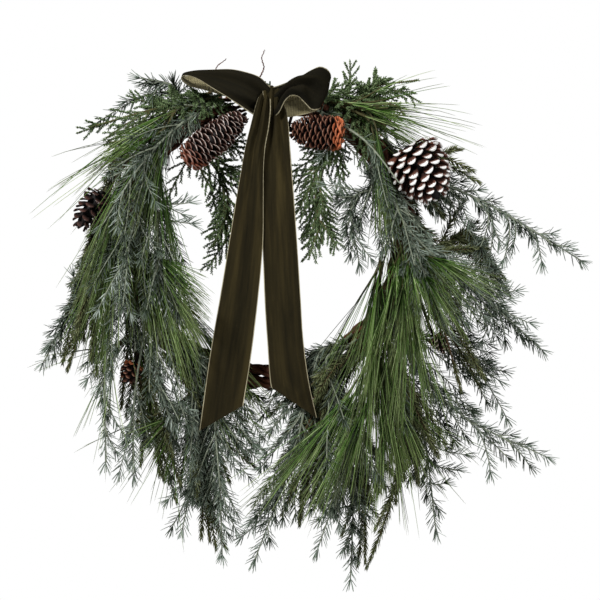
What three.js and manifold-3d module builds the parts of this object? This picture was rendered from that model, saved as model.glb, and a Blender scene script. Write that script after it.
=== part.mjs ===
// An evergreen wreath, 770 mm across: sprigs of pine, frosted fir, spruce and cedar wired onto
// a ring of twisted vines, with six cones and a velvet bow. Millimetres, +Z up, front to -Y.
import * as THREE from "three";
import { mergeVertices } from "three/addons/utils/BufferGeometryUtils.js";
import Module from "manifold-3d";

const wasm = await Module();
wasm.setup();

// ---- Driving dimensions -------------------------------------------------------------------

const RING_RADIUS = 196;
const CLEARANCE = 0.35;

const VINE_RADIUS = 8;
const VINE_TURNS = 5;
const VINE_OFFSET = 12.1;
const VINE_PHASE = 40;
const VINE_STEPS = 46;
const BUNDLE_REACH = VINE_OFFSET + VINE_RADIUS;

const STEM_RADIUS = 2.2;
const STEM_REACH = BUNDLE_REACH + CLEARANCE + STEM_RADIUS;

const WIRE_RADIUS = 0.8;
const WIRE_REACH = STEM_REACH + STEM_RADIUS + WIRE_RADIUS + 1.4 * CLEARANCE;
const WIRE_BACK_REACH = BUNDLE_REACH + WIRE_RADIUS + CLEARANCE;
const WIRE_PITCH = 1.6;
const TURN_POINTS = 16;

const TIE_RADIUS = 1.1;
const TIE_REACH = WIRE_BACK_REACH + WIRE_RADIUS + TIE_RADIUS + CLEARANCE;
const BOW_TIE_CLOCK = 1.75;
const EYE_TOP = 218.5;
const EYE = [
  [0, 197], [2.6, 201.5], [3.8, 206.5], [6.4, 211.5], [4.6, 217],
  [0, EYE_TOP], [-4.6, 217], [-6.4, 211.5], [-3.8, 206.5], [-2.6, 201.5],
];

const RIBBON_THICKNESS = 2.4;
const KNOT = { x: 6, z: 190, size: [24, 26, 44] };

const BACK = -90;

// Where the five groups of sprigs on each side are tied, in degrees clockwise from the top.
const TIED_AT = [-142, -114, -86, -54, -24, 24, 54, 86, 114, 142];

// How each kind of greenery grows: its stem, and the shoots along it.
const GROWTH = {
  frosted: { shoots: 3, length: [62, 40], pitch: 38, from: 0.4, to: 0.82, radius: 2.4, flat: 0.6 },
  pine: { shoots: 4, length: [150, 120], pitch: 17, from: 0.34, to: 0.7, radius: 2, flat: 0.5 },
  spruce: { shoots: 2, length: [105, 70], pitch: 22, from: 0.34, to: 0.72, radius: 3.6, flat: 0.7 },
  cedar: { shoots: 4, length: [46, 30], pitch: 42, from: 0.36, to: 0.9, radius: 2, flat: 0.3 },
};
const STEM_GIRTH = { frosted: 2.2, pine: 2.6, spruce: 4.4, cedar: 2 };

// Every sprig: its kind, the group it is tied in, where around the ring's section its stem lies
// (0 is outward, 90 the front, 180 inward), the bend of its stem and its tip, from the ring's
// centre.
const SPRIGS = [
  ["cedar_sprig_1", "cedar", 24, -12, [147, -4, 209], [214, -8, 221]],
  ["pine_spray_1", "pine", 24, 48, [140, -40, 180], [176, -50, 186]],
  ["cedar_sprig_2", "cedar", 24, 176, [71, -14, 87], [80, -22, -8]],
  ["frosted_sprig_1", "frosted", 24, 100, [142, -66, 130], [192, -100, 64]],
  ["frosted_sprig_2", "frosted", 54, 10, [315, -22, 45], [452, -30, -39]],
  ["frosted_sprig_3", "frosted", 54, 155, [122, -40, 52], [133, -44, -48]],
  ["spruce_tail_1", "spruce", 54, -25, [224, 8, 112], [287, 2, 126]],
  ["frosted_sprig_4", "frosted", 54, 112, [196, -84, 10], [245, -96, -116]],
  ["pine_spray_2", "pine", 86, 95, [200, -62, -60], [194, -78, -120]],
  ["pine_spray_3", "pine", 86, 152, [160, -38, -40], [128, -44, -92]],
  ["spruce_tail_2", "spruce", 86, -15, [280, -6, 3], [344, -10, -67]],
  ["frosted_sprig_5", "frosted", 86, 22, [301, -34, -81], [395, -38, -165]],
  ["spruce_tail_3", "spruce", 86, 60, [245, -46, -116], [276, -52, -225]],
  ["frosted_sprig_6", "frosted", 114, 0, [252, -10, -151], [337, -16, -207]],
  ["frosted_sprig_7", "frosted", 114, 34, [266, -36, -242], [403, -40, -312]],
  ["pine_spray_4", "pine", 114, 112, [168, -62, -220], [160, -72, -300]],
  ["spruce_tail_4", "spruce", 114, 76, [204, -46, -242], [213, -50, -354]],
  ["frosted_sprig_8", "frosted", 114, -28, [224, 2, -284], [242, -4, -426]],
  ["frosted_sprig_9", "frosted", 142, 40, [122, -36, -340], [119, -42, -489]],
  ["frosted_sprig_10", "frosted", 142, 100, [112, -64, -298], [70, -68, -445]],
  ["spruce_tail_5", "spruce", 142, -12, [136, -4, -326], [141, -8, -469]],
  ["frosted_sprig_11", "frosted", 142, 126, [40, -38, -305], [-18, -40, -461]],
  ["spruce_tail_6", "spruce", 142, 72, [68, -24, -284], [46, -26, -410]],
  ["frosted_sprig_12", "frosted", -24, -18, [-126, 4, 211], [-188, 0, 227]],
  ["cedar_sprig_3", "cedar", -24, 14, [-161, -20, 178], [-245, -26, 154]],
  ["pine_spray_5", "pine", -24, 52, [-140, -46, 150], [-176, -54, 132]],
  ["cedar_sprig_4", "cedar", -24, 186, [-56, 10, 73], [-55, 2, -29]],
  ["frosted_sprig_13", "frosted", -24, 88, [-166, -84, 104], [-231, -88, 3]],
  ["frosted_sprig_14", "frosted", -54, 104, [-186, -72, -4], [-214, -80, -130]],
  ["pine_spray_6", "pine", -54, 36, [-205, -40, 45], [-230, -46, -10]],
  ["frosted_sprig_15", "frosted", -54, 142, [-147, -56, -4], [-146, -60, -95]],
  ["spruce_tail_7", "spruce", -54, -4, [-242, 2, -4], [-294, -4, -151]],
  ["frosted_sprig_16", "frosted", -86, 6, [-270, -22, -102], [-316, -28, -186]],
  ["frosted_sprig_17", "frosted", -86, 76, [-220, -58, -158], [-221, -60, -326]],
  ["pine_spray_7", "pine", -86, 150, [-140, -40, -40], [-124, -44, -80]],
  ["spruce_tail_8", "spruce", -86, 40, [-252, -38, -116], [-279, -42, -197]],
  ["frosted_sprig_18", "frosted", -114, 112, [-147, -58, -207], [-92, -60, -266]],
  ["frosted_sprig_19", "frosted", -114, 70, [-182, -48, -228], [-182, -52, -343]],
  ["pine_spray_8", "pine", -114, 30, [-206, -26, -150], [-224, -34, -190]],
  ["spruce_tail_9", "spruce", -114, -14, [-161, 0, -242], [-140, -8, -354]],
  ["frosted_sprig_20", "frosted", -142, 96, [-66, -36, -312], [-59, -42, -455]],
  ["frosted_sprig_21", "frosted", -142, 50, [-98, -26, -312], [-118, -30, -421]],
  ["spruce_tail_10", "spruce", -142, 2, [-91, 0, -298], [-77, -6, -438]],
  ["pine_spray_9", "pine", -142, 22, [-130, -12, -260], [-150, -16, -300]],
];

// Every cone: the middle of its base, its tip, its girth, and where its stalk meets the ring.
const CONES = [
  ["cone_1", [-27, -37, 172], [-113, -32, 104], 23.5, -14, 2],
  ["cone_2", [34, -39, 149], [112, -39, 143], 25, 13, 0],
  ["cone_3", [196, -52, 118], [250, -58, 66], 42, 64, 1],
  ["cone_4", [-228, -36, 62], [-262, -40, 10], 20, -76, 0],
  ["cone_5", [-182, -23, -176], [-196, -26, -206], 16, -131, 3],
  ["cone_6", [236, -28, -138], [256, -29, -160], 13, 108, 2],
];
const CONE_ROWS = 6;

// ---- Shapes -------------------------------------------------------------------------------

const vec = (at) => new THREE.Vector3(...at);
const rad = THREE.MathUtils.degToRad;

function solidOf(geometry) {
  const bare = geometry.clone();
  bare.deleteAttribute("normal");
  bare.deleteAttribute("uv");
  const merged = mergeVertices(bare, 1e-3);
  return new wasm.Manifold(new wasm.Mesh({
    numProp: 3,
    vertProperties: new Float32Array(merged.attributes.position.array),
    triVerts: new Uint32Array(merged.index.array),
  }));
}

function geometryOf(solid) {
  const mesh = solid.getMesh();
  const geometry = new THREE.BufferGeometry();
  geometry.setAttribute("position", new THREE.BufferAttribute(mesh.vertProperties, 3));
  geometry.setIndex(new THREE.BufferAttribute(mesh.triVerts, 1));
  return geometry;
}

function join(solids) {
  return solids.reduce((whole, piece) => whole.add(piece));
}

// A point beside the ring: clockwise from the top, then around its section, then out from it.
function besideRing(clock, around, reach) {
  const outward = new THREE.Vector3(Math.sin(rad(clock)), 0, Math.cos(rad(clock)));
  const point = outward.clone().multiplyScalar(RING_RADIUS + reach * Math.cos(rad(around)));
  point.y = -reach * Math.sin(rad(around));
  return point;
}

// Points along a smooth curve, with so many steps from each given point to the next.
function centreline(points, stepsPerSpan) {
  const curve = new THREE.CatmullRomCurve3(points, false, "centripetal");
  const line = [points[0].clone()];
  for (let span = 1; span < points.length; span += 1) {
    const steps = stepsPerSpan[span - 1] ?? 1;
    for (let step = 1; step <= steps; step += 1) {
      line.push(curve.getPoint((span - 1 + step / steps) / (points.length - 1)));
    }
  }
  return line;
}

function pathAlong(line) {
  const path = new THREE.CurvePath();
  line.slice(1).forEach((point, i) => path.add(new THREE.LineCurve3(line[i], point)));
  return path;
}

// A round stalk along a line: a straight turned profile, bent so that its axis is the line.
// radiusAt gives its radius from 0 at the start to 1 at the end.
function stalk(line, radiusAt, sides) {
  const last = line.length - 1;
  const lengths = pathAlong(line).getCurveLengths();
  const profile = [new THREE.Vector2(0, 0)];
  const frames = [];
  const side = new THREE.Vector3(0.31, 0.83, 0.46);
  for (let step = 0; step <= last; step += 1) {
    const share = step === 0 ? 0 : lengths[step - 1] / lengths[last - 1];
    profile.push(new THREE.Vector2(radiusAt(share), step));
    const heading = line[Math.min(step + 1, last)].clone().sub(line[Math.max(step - 1, 0)]);
    heading.normalize();
    side.addScaledVector(heading, -side.dot(heading)).normalize();
    frames.push([side.clone(), heading.clone().cross(side)]);
  }
  profile.push(new THREE.Vector2(0, last));
  const geometry = new THREE.LatheGeometry(profile, sides);
  const position = geometry.attributes.position;
  for (let i = 0; i < position.count; i += 1) {
    const step = Math.round(position.getY(i));
    const place = line[step].clone();
    place.addScaledVector(frames[step][0], position.getX(i));
    place.addScaledVector(frames[step][1], -position.getZ(i));
    position.setXYZ(i, ...place);
  }
  return solidOf(geometry);
}

// A closed loop of wire through points that go once round.
function wireLoop(points, radius, sides) {
  const half = points.length / 2;
  const runs = [points.slice(0, half + 1), [...points.slice(half), points[0]]];
  return join(runs.map((run) => stalk(centreline(run, []), () => radius, sides)));
}

// A length of ribbon between its two long edges, each a list of points.
function ribbonRun(edgeA, edgeB, steps) {
  const curveA = new THREE.CatmullRomCurve3(edgeA.map(vec));
  const curveB = new THREE.CatmullRomCurve3(edgeB.map(vec));
  const corners = [];
  for (let step = 0; step <= steps; step += 1) {
    const a = curveA.getPoint(step / steps);
    const b = curveB.getPoint(step / steps);
    const along = curveA.getTangent(step / steps);
    const normal = b.clone().sub(a).cross(along).setLength(RIBBON_THICKNESS / 2);
    corners.push(a.clone().add(normal), b.clone().add(normal));
    corners.push(b.clone().sub(normal), a.clone().sub(normal));
  }
  const faces = [0, 1, 2, 0, 2, 3];
  const last = steps * 4;
  for (let base = 0; base < last; base += 4) {
    for (let side = 0; side < 4; side += 1) {
      const next = (side + 1) % 4;
      faces.push(base + side, base + side + 4, base + next);
      faces.push(base + next, base + side + 4, base + next + 4);
    }
  }
  faces.push(last, last + 2, last + 1, last, last + 3, last + 2);
  const geometry = new THREE.BufferGeometry().setFromPoints(corners);
  geometry.setIndex(faces);
  const solid = solidOf(geometry);
  if (solid.volume() > 0) {
    return solid;
  }
  geometry.setIndex(faces.toReversed());
  return solidOf(geometry);
}

// ---- The wreath ---------------------------------------------------------------------------

const wreath = new THREE.Group();
wreath.name = "evergreen_wreath";
wreath.position.set(0, -TIE_REACH, TIE_RADIUS - EYE_TOP);

const solids = new Map();

function material(color, roughness, metalness = 0) {
  return new THREE.MeshStandardMaterial({ color, roughness, metalness, flatShading: true });
}

const FINISHES = {
  vine: material(0x4b2c20, 0.9),
  wire: material(0x2f3a2c, 0.5, 0.6),
  ribbon: material(0x342e1e, 0.8),
  cone: material(0x5a3824, 0.8),
  frosted: material(0x4f6b62, 0.8),
  pine: material(0x46702d, 0.7),
  spruce: material(0x4b5032, 0.8),
  cedar: material(0x3c5f2d, 0.8),
};

function keep(name, solid, finish) {
  solids.set(name, solid);
  const mesh = new THREE.Mesh(geometryOf(solid), FINISHES[finish]);
  mesh.name = name;
  wreath.add(mesh);
}

// Four vines wind round each other; two of them end in bare twigs that stand up at the top.
const TWIG_ENDS = {
  vine_1: { until: 349, to: [[-8, 4, 226], [-2, 5, 240], [-5, 6, 252], [-1, 6, 265]] },
  vine_2: { until: 346, to: [[-62, -4, 222], [-70, -2, 236], [-55, -2, 252]] },
  vine_3: { until: 354, to: [] },
  vine_4: { until: 347, to: [] },
};
Object.entries(TWIG_ENDS).forEach(([name, end], index) => {
  const phase = VINE_PHASE + 90 * index;
  const points = [];
  for (let step = 0; step <= VINE_STEPS; step += 1) {
    const clock = 3 + 3 * index + (end.until - 3 - 3 * index) * (step / VINE_STEPS);
    points.push(besideRing(clock, phase + VINE_TURNS * clock, VINE_OFFSET));
  }
  points.push(...end.to.map(vec));
  const taperFrom = end.to.length ? 0.93 : 0.985;
  const girth = (t) => (t < taperFrom ? VINE_RADIUS : THREE.MathUtils.mapLinear(
    t, taperFrom, 1, VINE_RADIUS, end.to.length ? 1 : 5));
  keep(name, stalk(points, girth, 5), "vine");
});

// The binding wire: one turn over each group of stems, and along the back between them.
const wirePoints = [];
TIED_AT.forEach((clock, index) => {
  for (let step = 0; step <= TURN_POINTS; step += 1) {
    const turned = step / TURN_POINTS;
    const overStems = THREE.MathUtils.smoothstep(Math.abs(turned - 0.5), 0.3, 0.5);
    const reach = THREE.MathUtils.lerp(WIRE_REACH, WIRE_BACK_REACH, overStems);
    wirePoints.push(besideRing(clock + (turned - 0.5) * WIRE_PITCH, BACK + 360 * turned, reach));
  }
  const next = TIED_AT[index + 1];
  if (next !== undefined) {
    for (let part = 1; part < 4; part += 1) {
      wirePoints.push(besideRing(clock + (next - clock) * (part / 4), BACK, WIRE_BACK_REACH));
    }
  }
});
keep("binding_wire", stalk(wirePoints, () => WIRE_RADIUS, 4), "wire");

// The hanging loop: a tie round the vines with an eye behind them.
function tieRound(clock, reach) {
  const points = [];
  for (let step = 0; step < TURN_POINTS; step += 1) {
    points.push(besideRing(clock, BACK + (360 / TURN_POINTS) * step, reach));
  }
  return wireLoop(points, TIE_RADIUS, 5);
}
const eyePoints = EYE.map(([x, z]) => new THREE.Vector3(x, TIE_REACH, z));
keep("hanging_loop", tieRound(0, TIE_REACH).add(wireLoop(eyePoints, TIE_RADIUS, 5)), "wire");

// The bow: one length of ribbon, and the tie that holds its knot to the vines.
keep("bow_tie_wire", tieRound(BOW_TIE_CLOCK, TIE_REACH), "wire");

const knot = new THREE.SphereGeometry(0.5, 10, 8);
knot.scale(...KNOT.size);
knot.translate(KNOT.x, -(TIE_REACH + TIE_RADIUS + KNOT.size[1] / 2), KNOT.z);
const bow = [
  solidOf(knot),
  ribbonRun([[4, -46, 204], [-30, -58, 226], [-62, -66, 235], [-92, -64, 231], [-117, -52, 226]],
    [[4, -46, 174], [-30, -58, 180], [-66, -70, 204], [-95, -72, 215], [-116, -56, 220]], 6),
  ribbonRun([[-117, -52, 226], [-92, -34, 228], [-50, -34, 226], [4, -38, 204]],
    [[-116, -50, 220], [-92, -32, 216], [-50, -32, 200], [4, -36, 178]], 5),
  ribbonRun([[8, -46, 204], [34, -56, 224], [60, -62, 236], [80, -58, 236], [91, -48, 230]],
    [[8, -46, 176], [34, -58, 178], [52, -64, 180], [72, -60, 192], [88, -50, 212]], 6),
  ribbonRun([[91, -48, 230], [76, -34, 234], [40, -32, 224], [8, -36, 204]],
    [[88, -48, 212], [72, -32, 196], [40, -30, 190], [8, -34, 178]], 5),
  ribbonRun([[-4, -50, 190], [-18, -56, 161], [-50, -52, -4], [-71, -48, -129], [-92, -46, -270]],
    [[10, -50, 190], [6, -57, 160], [-4, -54, -4], [-19, -48, -140], [-31, -46, -235]], 8),
  ribbonRun([[2, -52, 190], [2, -60, 160], [-2, -56, -4], [3, -50, -141], [9, -48, -210]],
    [[22, -50, 190], [30, -58, 155], [45, -54, -4], [52, -50, -141], [73, -48, -253]], 8),
];
keep("velvet_ribbon", join(bow), "ribbon");

// The cones: rows of scales on a tapering core, and a stalk at the base.
const crestAround = (clock, vine) => VINE_PHASE + 90 * vine + VINE_TURNS * clock;
const vines = Object.keys(TWIG_ENDS).map((name) => solids.get(name));

CONES.forEach(([name, base, tip, girth, clock, vine]) => {
  const from = vec(base);
  const axis = vec(tip).sub(from);
  const length = axis.length();
  const profile = [new THREE.Vector2(0, 0)];
  for (let row = 0; row <= CONE_ROWS; row += 1) {
    const t = row / CONE_ROWS;
    const swell = girth * (0.62 + 0.38 * Math.sin(Math.PI * Math.min(1, 0.15 + 0.9 * t)));
    const envelope = swell * Math.sqrt(1 - 0.82 * t ** 4);
    profile.push(new THREE.Vector2(envelope * 0.84, length * Math.max(0, t - 0.03)));
    profile.push(new THREE.Vector2(envelope, length * Math.min(1, t + 0.03)));
  }
  profile.push(new THREE.Vector2(0, length));
  const core = new THREE.LatheGeometry(profile, 8);
  const turn = new THREE.Quaternion().setFromUnitVectors(
    new THREE.Vector3(0, 1, 0), axis.clone().normalize());
  core.applyQuaternion(turn);
  core.translate(...base);
  const around = crestAround(clock < 0 ? clock + 360 : clock, vine);
  const above = besideRing(clock, around, BUNDLE_REACH + 8);
  const inside = from.clone().addScaledVector(axis, 0.12);
  let reach = BUNDLE_REACH + CLEARANCE;
  let rod = null;
  do {
    const seat = besideRing(clock, around, reach);
    rod = stalk([inside, from, above, seat], () => STEM_RADIUS, 5);
    reach -= CLEARANCE / 2;
  } while (vines.every((vine) => rod.minGap(vine, 5) > 2 * CLEARANCE));
  keep(name, solidOf(core).add(rod), "cone");
});

// ---- The greenery -------------------------------------------------------------------------

function isClear(candidate, own) {
  const box = candidate.boundingBox();
  for (const [name, other] of solids) {
    const far = other.boundingBox();
    const apart = [0, 1, 2].some((i) => box.min[i] > far.max[i] + 1 || far.min[i] > box.max[i] + 1);
    if (name !== own && !apart && candidate.minGap(other, 1) < CLEARANCE) {
      return false;
    }
  }
  return true;
}

// Stems lie along the ring where they are tied, then lift away from it.
const STEM_STEPS = [1, 1, 2, 2, 2];

function stemLine([, , clock, around, bend, tip]) {
  const way = Math.sign(clock);
  const points = [
    besideRing(clock - 4 * way, around, STEM_REACH),
    besideRing(clock, around, STEM_REACH),
    besideRing(clock + 4 * way, around, STEM_REACH),
    besideRing(clock + 11 * way, around, STEM_REACH + 10),
    vec(bend),
    vec(tip),
  ];
  return centreline(points, STEM_STEPS);
}

SPRIGS.forEach((sprig) => {
  const [name, kind] = sprig;
  const radiusAt = (t) => {
    if (t < 0.25) {
      return STEM_RADIUS;
    }
    return THREE.MathUtils.lerp(STEM_GIRTH[kind], 1, Math.max(0, t - 0.35) / 0.65);
  };
  keep(name, stalk(stemLine(sprig), radiusAt, 4), kind);
});

// A shoot turns about its stem until it finds room between what is already there.
const TRIES = 9;

SPRIGS.forEach((sprig, index) => {
  const [name, kind] = sprig;
  const growth = GROWTH[kind];
  const path = pathAlong(stemLine(sprig));
  let solid = solids.get(name);
  for (let shoot = 0; shoot < growth.shoots; shoot += 1) {
    const share = shoot / (growth.shoots - 1);
    const t = THREE.MathUtils.lerp(growth.from, growth.to, share);
    const start = path.getPointAt(t);
    const along = path.getTangentAt(t);
    const sideways = new THREE.Vector3(0, -1, 0).cross(along).normalize();
    const forward = along.clone().cross(sideways);
    const length = THREE.MathUtils.lerp(...growth.length, share);
    const lean = rad(growth.pitch * (1 + 0.25 * Math.sin(index + 2 * shoot)));
    for (let attempt = 0; attempt < TRIES; attempt += 1) {
      const side = (shoot + attempt) % 2 ? 1 : -1;
      const roll = Math.sin(1.7 * shoot + 2.4 * attempt + index) * growth.flat;
      const out = sideways.clone().multiplyScalar(side * Math.cos(roll));
      out.addScaledVector(forward, Math.sin(roll));
      const heading = along.clone().multiplyScalar(Math.cos(lean));
      heading.addScaledVector(out, Math.sin(lean));
      const middle = start.clone().addScaledVector(heading, length * 0.55);
      const end = start.clone().addScaledVector(heading, length);
      end.z -= length * 0.12;
      const girth = (s) => growth.radius * (1 - 0.7 * s);
      const free = stalk([start.clone().lerp(middle, 0.25), middle, end], girth, 3);
      if (isClear(free, name)) {
        solid = solid.add(stalk([start, middle, end], girth, 3));
        break;
      }
    }
  }
  solids.set(name, solid);
  wreath.getObjectByName(name).geometry = geometryOf(solid);
});

export default wreath;
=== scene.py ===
import bpy
import numpy as np
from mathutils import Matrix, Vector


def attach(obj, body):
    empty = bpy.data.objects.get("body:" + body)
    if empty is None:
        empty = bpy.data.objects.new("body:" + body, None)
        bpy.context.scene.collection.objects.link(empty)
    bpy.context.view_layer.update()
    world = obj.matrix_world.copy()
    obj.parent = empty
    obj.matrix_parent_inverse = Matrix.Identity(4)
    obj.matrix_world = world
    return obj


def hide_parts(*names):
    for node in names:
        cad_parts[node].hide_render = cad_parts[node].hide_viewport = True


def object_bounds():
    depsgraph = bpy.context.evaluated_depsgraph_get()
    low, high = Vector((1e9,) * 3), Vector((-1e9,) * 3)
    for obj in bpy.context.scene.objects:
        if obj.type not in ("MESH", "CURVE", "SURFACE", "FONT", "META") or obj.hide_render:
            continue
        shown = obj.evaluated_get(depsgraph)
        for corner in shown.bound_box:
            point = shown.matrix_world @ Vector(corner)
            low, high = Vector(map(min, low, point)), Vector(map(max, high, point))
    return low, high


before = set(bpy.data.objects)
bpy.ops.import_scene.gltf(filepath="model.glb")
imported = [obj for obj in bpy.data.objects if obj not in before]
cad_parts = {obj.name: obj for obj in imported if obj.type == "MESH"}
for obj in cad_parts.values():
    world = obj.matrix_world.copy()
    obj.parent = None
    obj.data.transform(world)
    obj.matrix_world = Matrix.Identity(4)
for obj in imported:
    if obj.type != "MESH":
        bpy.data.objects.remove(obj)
cad_low, cad_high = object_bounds()


# ---- Camera ---------------------------------------------------------------------------------
# It stands level with the wreath and square to it, far enough back that the depth hardly shows,
# so that one pixel of the 600 is 1.4 mm at the ring.
PIXELS = 600
PIXEL_SIZE = 0.0014
CAMERA_DISTANCE = 4.0
CAMERA_AT = (0.049, -CAMERA_DISTANCE - 0.05, -0.3056)

camera = bpy.data.objects.new("camera", bpy.data.cameras.new("camera"))
bpy.context.scene.collection.objects.link(camera)
camera.location = CAMERA_AT
camera.rotation_euler = (np.pi / 2, 0, 0)
camera.data.sensor_width = 36
camera.data.lens = camera.data.sensor_width * CAMERA_DISTANCE / (PIXELS * PIXEL_SIZE)
bpy.context.scene.camera = camera


# ---- Vines ----------------------------------------------------------------------------------
# The ring is four strands of dry grapevine twisted round each other, and each strand is a few
# thinner canes with shaggy, furrowed bark. Two canes end in bare twigs that stand up at the top.
MM = 0.001
RING_RADIUS = 196 * MM
RING_CENTRE = np.array([0, -23.5, -217.4]) * MM
UP = np.array([0.0, 0.0, 1.0])
FRONT = np.array([0.0, -1.0, 0.0])
MAP = "OFBake"

VINE_OFFSET = 12.1 * MM
VINE_TURNS = 5
VINE_PHASE = 40
CANE_OFFSET = 4.1 * MM
CANE_RADIUS = 3.7 * MM
CANE_TURNS = 15
CANES = 3
CANE_POINTS = 330
SHREDS = 16
# Each strand: the clock angles where it starts and ends, and the twig that its first cane ends in.
VINES = {
    "vine_1": (3, 349, [(-8, 4, 226), (-2, 5, 240), (-5, 6, 252), (-1, 6, 265)]),
    "vine_2": (6, 346, [(-62, -4, 222), (-70, -2, 236), (-55, -2, 252)]),
    "vine_3": (9, 354, []),
    "vine_4": (12, 347, []),
}


def unit(vectors):
    return vectors / np.linalg.norm(vectors, axis=-1, keepdims=True)


def from_ring(points):
    """Points given in millimetres from the ring's centre, in metres in the wreath's frame."""
    return RING_CENTRE + np.array(points, float) * MM


def beside_ring(clock, around, reach):
    """Points beside the ring: degrees clockwise from the top, degrees around its section (0 is
    outward, 90 the front), and how far out from the middle of the vines."""
    clock, around = np.radians(clock), np.radians(around)
    out = RING_RADIUS + reach * np.cos(around)
    spot = np.stack([out * np.sin(clock), -reach * np.sin(around), out * np.cos(clock)], -1)
    return RING_CENTRE + spot


def smooth_line(points, steps):
    """A smooth curve through the points, with so many steps from each to the next."""
    points = np.array(points, float)
    padded = np.vstack([2 * points[0] - points[1], points, 2 * points[-1] - points[-2]])
    share = np.linspace(0, 1, steps, endpoint=False)[:, None]
    line = []
    for a, b, c, d in zip(padded, padded[1:], padded[2:], padded[3:]):
        gaps = [max(np.linalg.norm(q - p), 1e-6) ** 0.5 for p, q in ((a, b), (b, c), (c, d))]
        leave = (b - a) / gaps[0] - (c - a) / (gaps[0] + gaps[1]) + (c - b) / gaps[1]
        reach = (c - b) / gaps[1] - (d - b) / (gaps[1] + gaps[2]) + (d - c) / gaps[2]
        leave, reach = leave * gaps[1], reach * gaps[1]
        cubic = 2 * b - 2 * c + leave + reach
        square = 3 * c - 3 * b - 2 * leave - reach
        line.append(b + leave * share + square * share ** 2 + cubic * share ** 3)
    return np.vstack([*line, points[-1]])


def evenly(line, gap):
    """The line again with its points about one gap apart, and how far along each one is."""
    along = np.append(0, np.cumsum(np.linalg.norm(np.diff(line, axis=0), axis=1)))
    places = np.linspace(0, along[-1], max(2, int(round(along[-1] / gap)) + 1))
    return np.stack([np.interp(places, along, line[:, i]) for i in range(3)], -1), places


def tangents(line):
    return unit(np.gradient(line, axis=0))


def sides_of(line):
    """Two directions square to the line and to each other at each of its points, hardly twisting."""
    along = tangents(line)
    side = np.array([0.31, 0.83, 0.46])
    found = []
    for heading in along:
        side = unit(side - heading * (side @ heading))
        found.append(side)
    first = np.array(found)
    return first, np.cross(along, first)


class Soup:
    """Points and triangles gathered for one piece, with each point's place on the finish's map."""

    def __init__(self):
        self.points, self.faces, self.places, self.kinds, self.count = [], [], [], [], 0

    def add(self, points, faces, places, kind=0):
        self.points.append(points.reshape(-1, 3))
        self.faces.append(faces.reshape(-1, 3) + self.count)
        self.places.append(places.reshape(-1, 2))
        self.kinds.append(np.broadcast_to(kind, len(self.faces[-1])))
        self.count += len(self.points[-1])

    def piece(self, name, finishes):
        """Makes the piece, which stands for the CAD node of its name."""
        faces = np.vstack(self.faces)
        mesh = bpy.data.meshes.new(name)
        mesh.vertices.add(self.count)
        mesh.vertices.foreach_set("co", np.vstack(self.points).ravel())
        mesh.loops.add(faces.size)
        mesh.loops.foreach_set("vertex_index", faces.ravel())
        mesh.polygons.add(len(faces))
        mesh.polygons.foreach_set("loop_start", np.arange(0, faces.size, 3))
        mesh.polygons.foreach_set("material_index", np.concatenate(self.kinds))
        mesh.update(calc_edges=True)
        mesh.shade_smooth()
        layer = mesh.uv_layers.new(name=MAP)
        layer.uv.foreach_set("vector", np.vstack(self.places)[faces.ravel()].ravel())
        for finish in finishes:
            mesh.materials.append(finish)
        made = bpy.data.objects.new(name + "_looks", mesh)
        bpy.context.scene.collection.objects.link(made)
        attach(made, "root")
        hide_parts(name)
        return made


def grid_faces(rows, columns, closed):
    """Triangles between neighbouring rows of points; closed joins the last column to the first."""
    row, column = np.mgrid[: rows - 1, : columns - (not closed)]
    a = row * columns + column
    b = row * columns + (column + 1) % columns
    return np.stack([a, b, b + columns, a, b + columns, a + columns], -1).reshape(-1, 3)


def add_tube(soup, line, radii, sides, span=(0, 1), strip=(0, 1)):
    """A round rod along a line, closed at both ends. span and strip are its part of the map,
    round it and along it."""
    radii = np.broadcast_to(radii, len(line))
    first, second = sides_of(line)
    turn = np.linspace(0, 2 * np.pi, sides, endpoint=False)
    ring = np.cos(turn)[:, None] * first[:, None] + np.sin(turn)[:, None] * second[:, None]
    points = line[:, None] + ring * radii[:, None, None]
    round_it = span[0] + (span[1] - span[0]) * np.abs(1 - 2 * np.arange(sides) / sides)
    along = np.linspace(*strip, len(line))
    places = np.stack(np.broadcast_arrays(round_it[None], along[:, None]), -1)
    faces = grid_faces(len(line), sides, True)
    last = len(line) * sides
    step = np.arange(sides)
    following = (step + 1) % sides
    low_cap = np.stack([np.full(sides, last), following, step], -1)
    high_cap = np.stack([np.full(sides, last + 1), last - sides + step, last - sides + following], -1)
    points = np.vstack([points.reshape(-1, 3), line[0], line[-1]])
    ends = [[span[0], strip[0]], [span[0], strip[1]]]
    places = np.vstack([places.reshape(-1, 2), ends])
    soup.add(points, np.vstack([faces, low_cap, high_cap]), places)


def srgb(red, green, blue):
    """A colour as a picture gives it, 0 to 255, as the linear colour that a shader takes."""
    share = np.array([red, green, blue]) / 255
    linear = np.where(share <= 0.04045, share / 12.92, ((share + 0.055) / 1.055) ** 2.4)
    return (*linear, 1.0)


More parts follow.
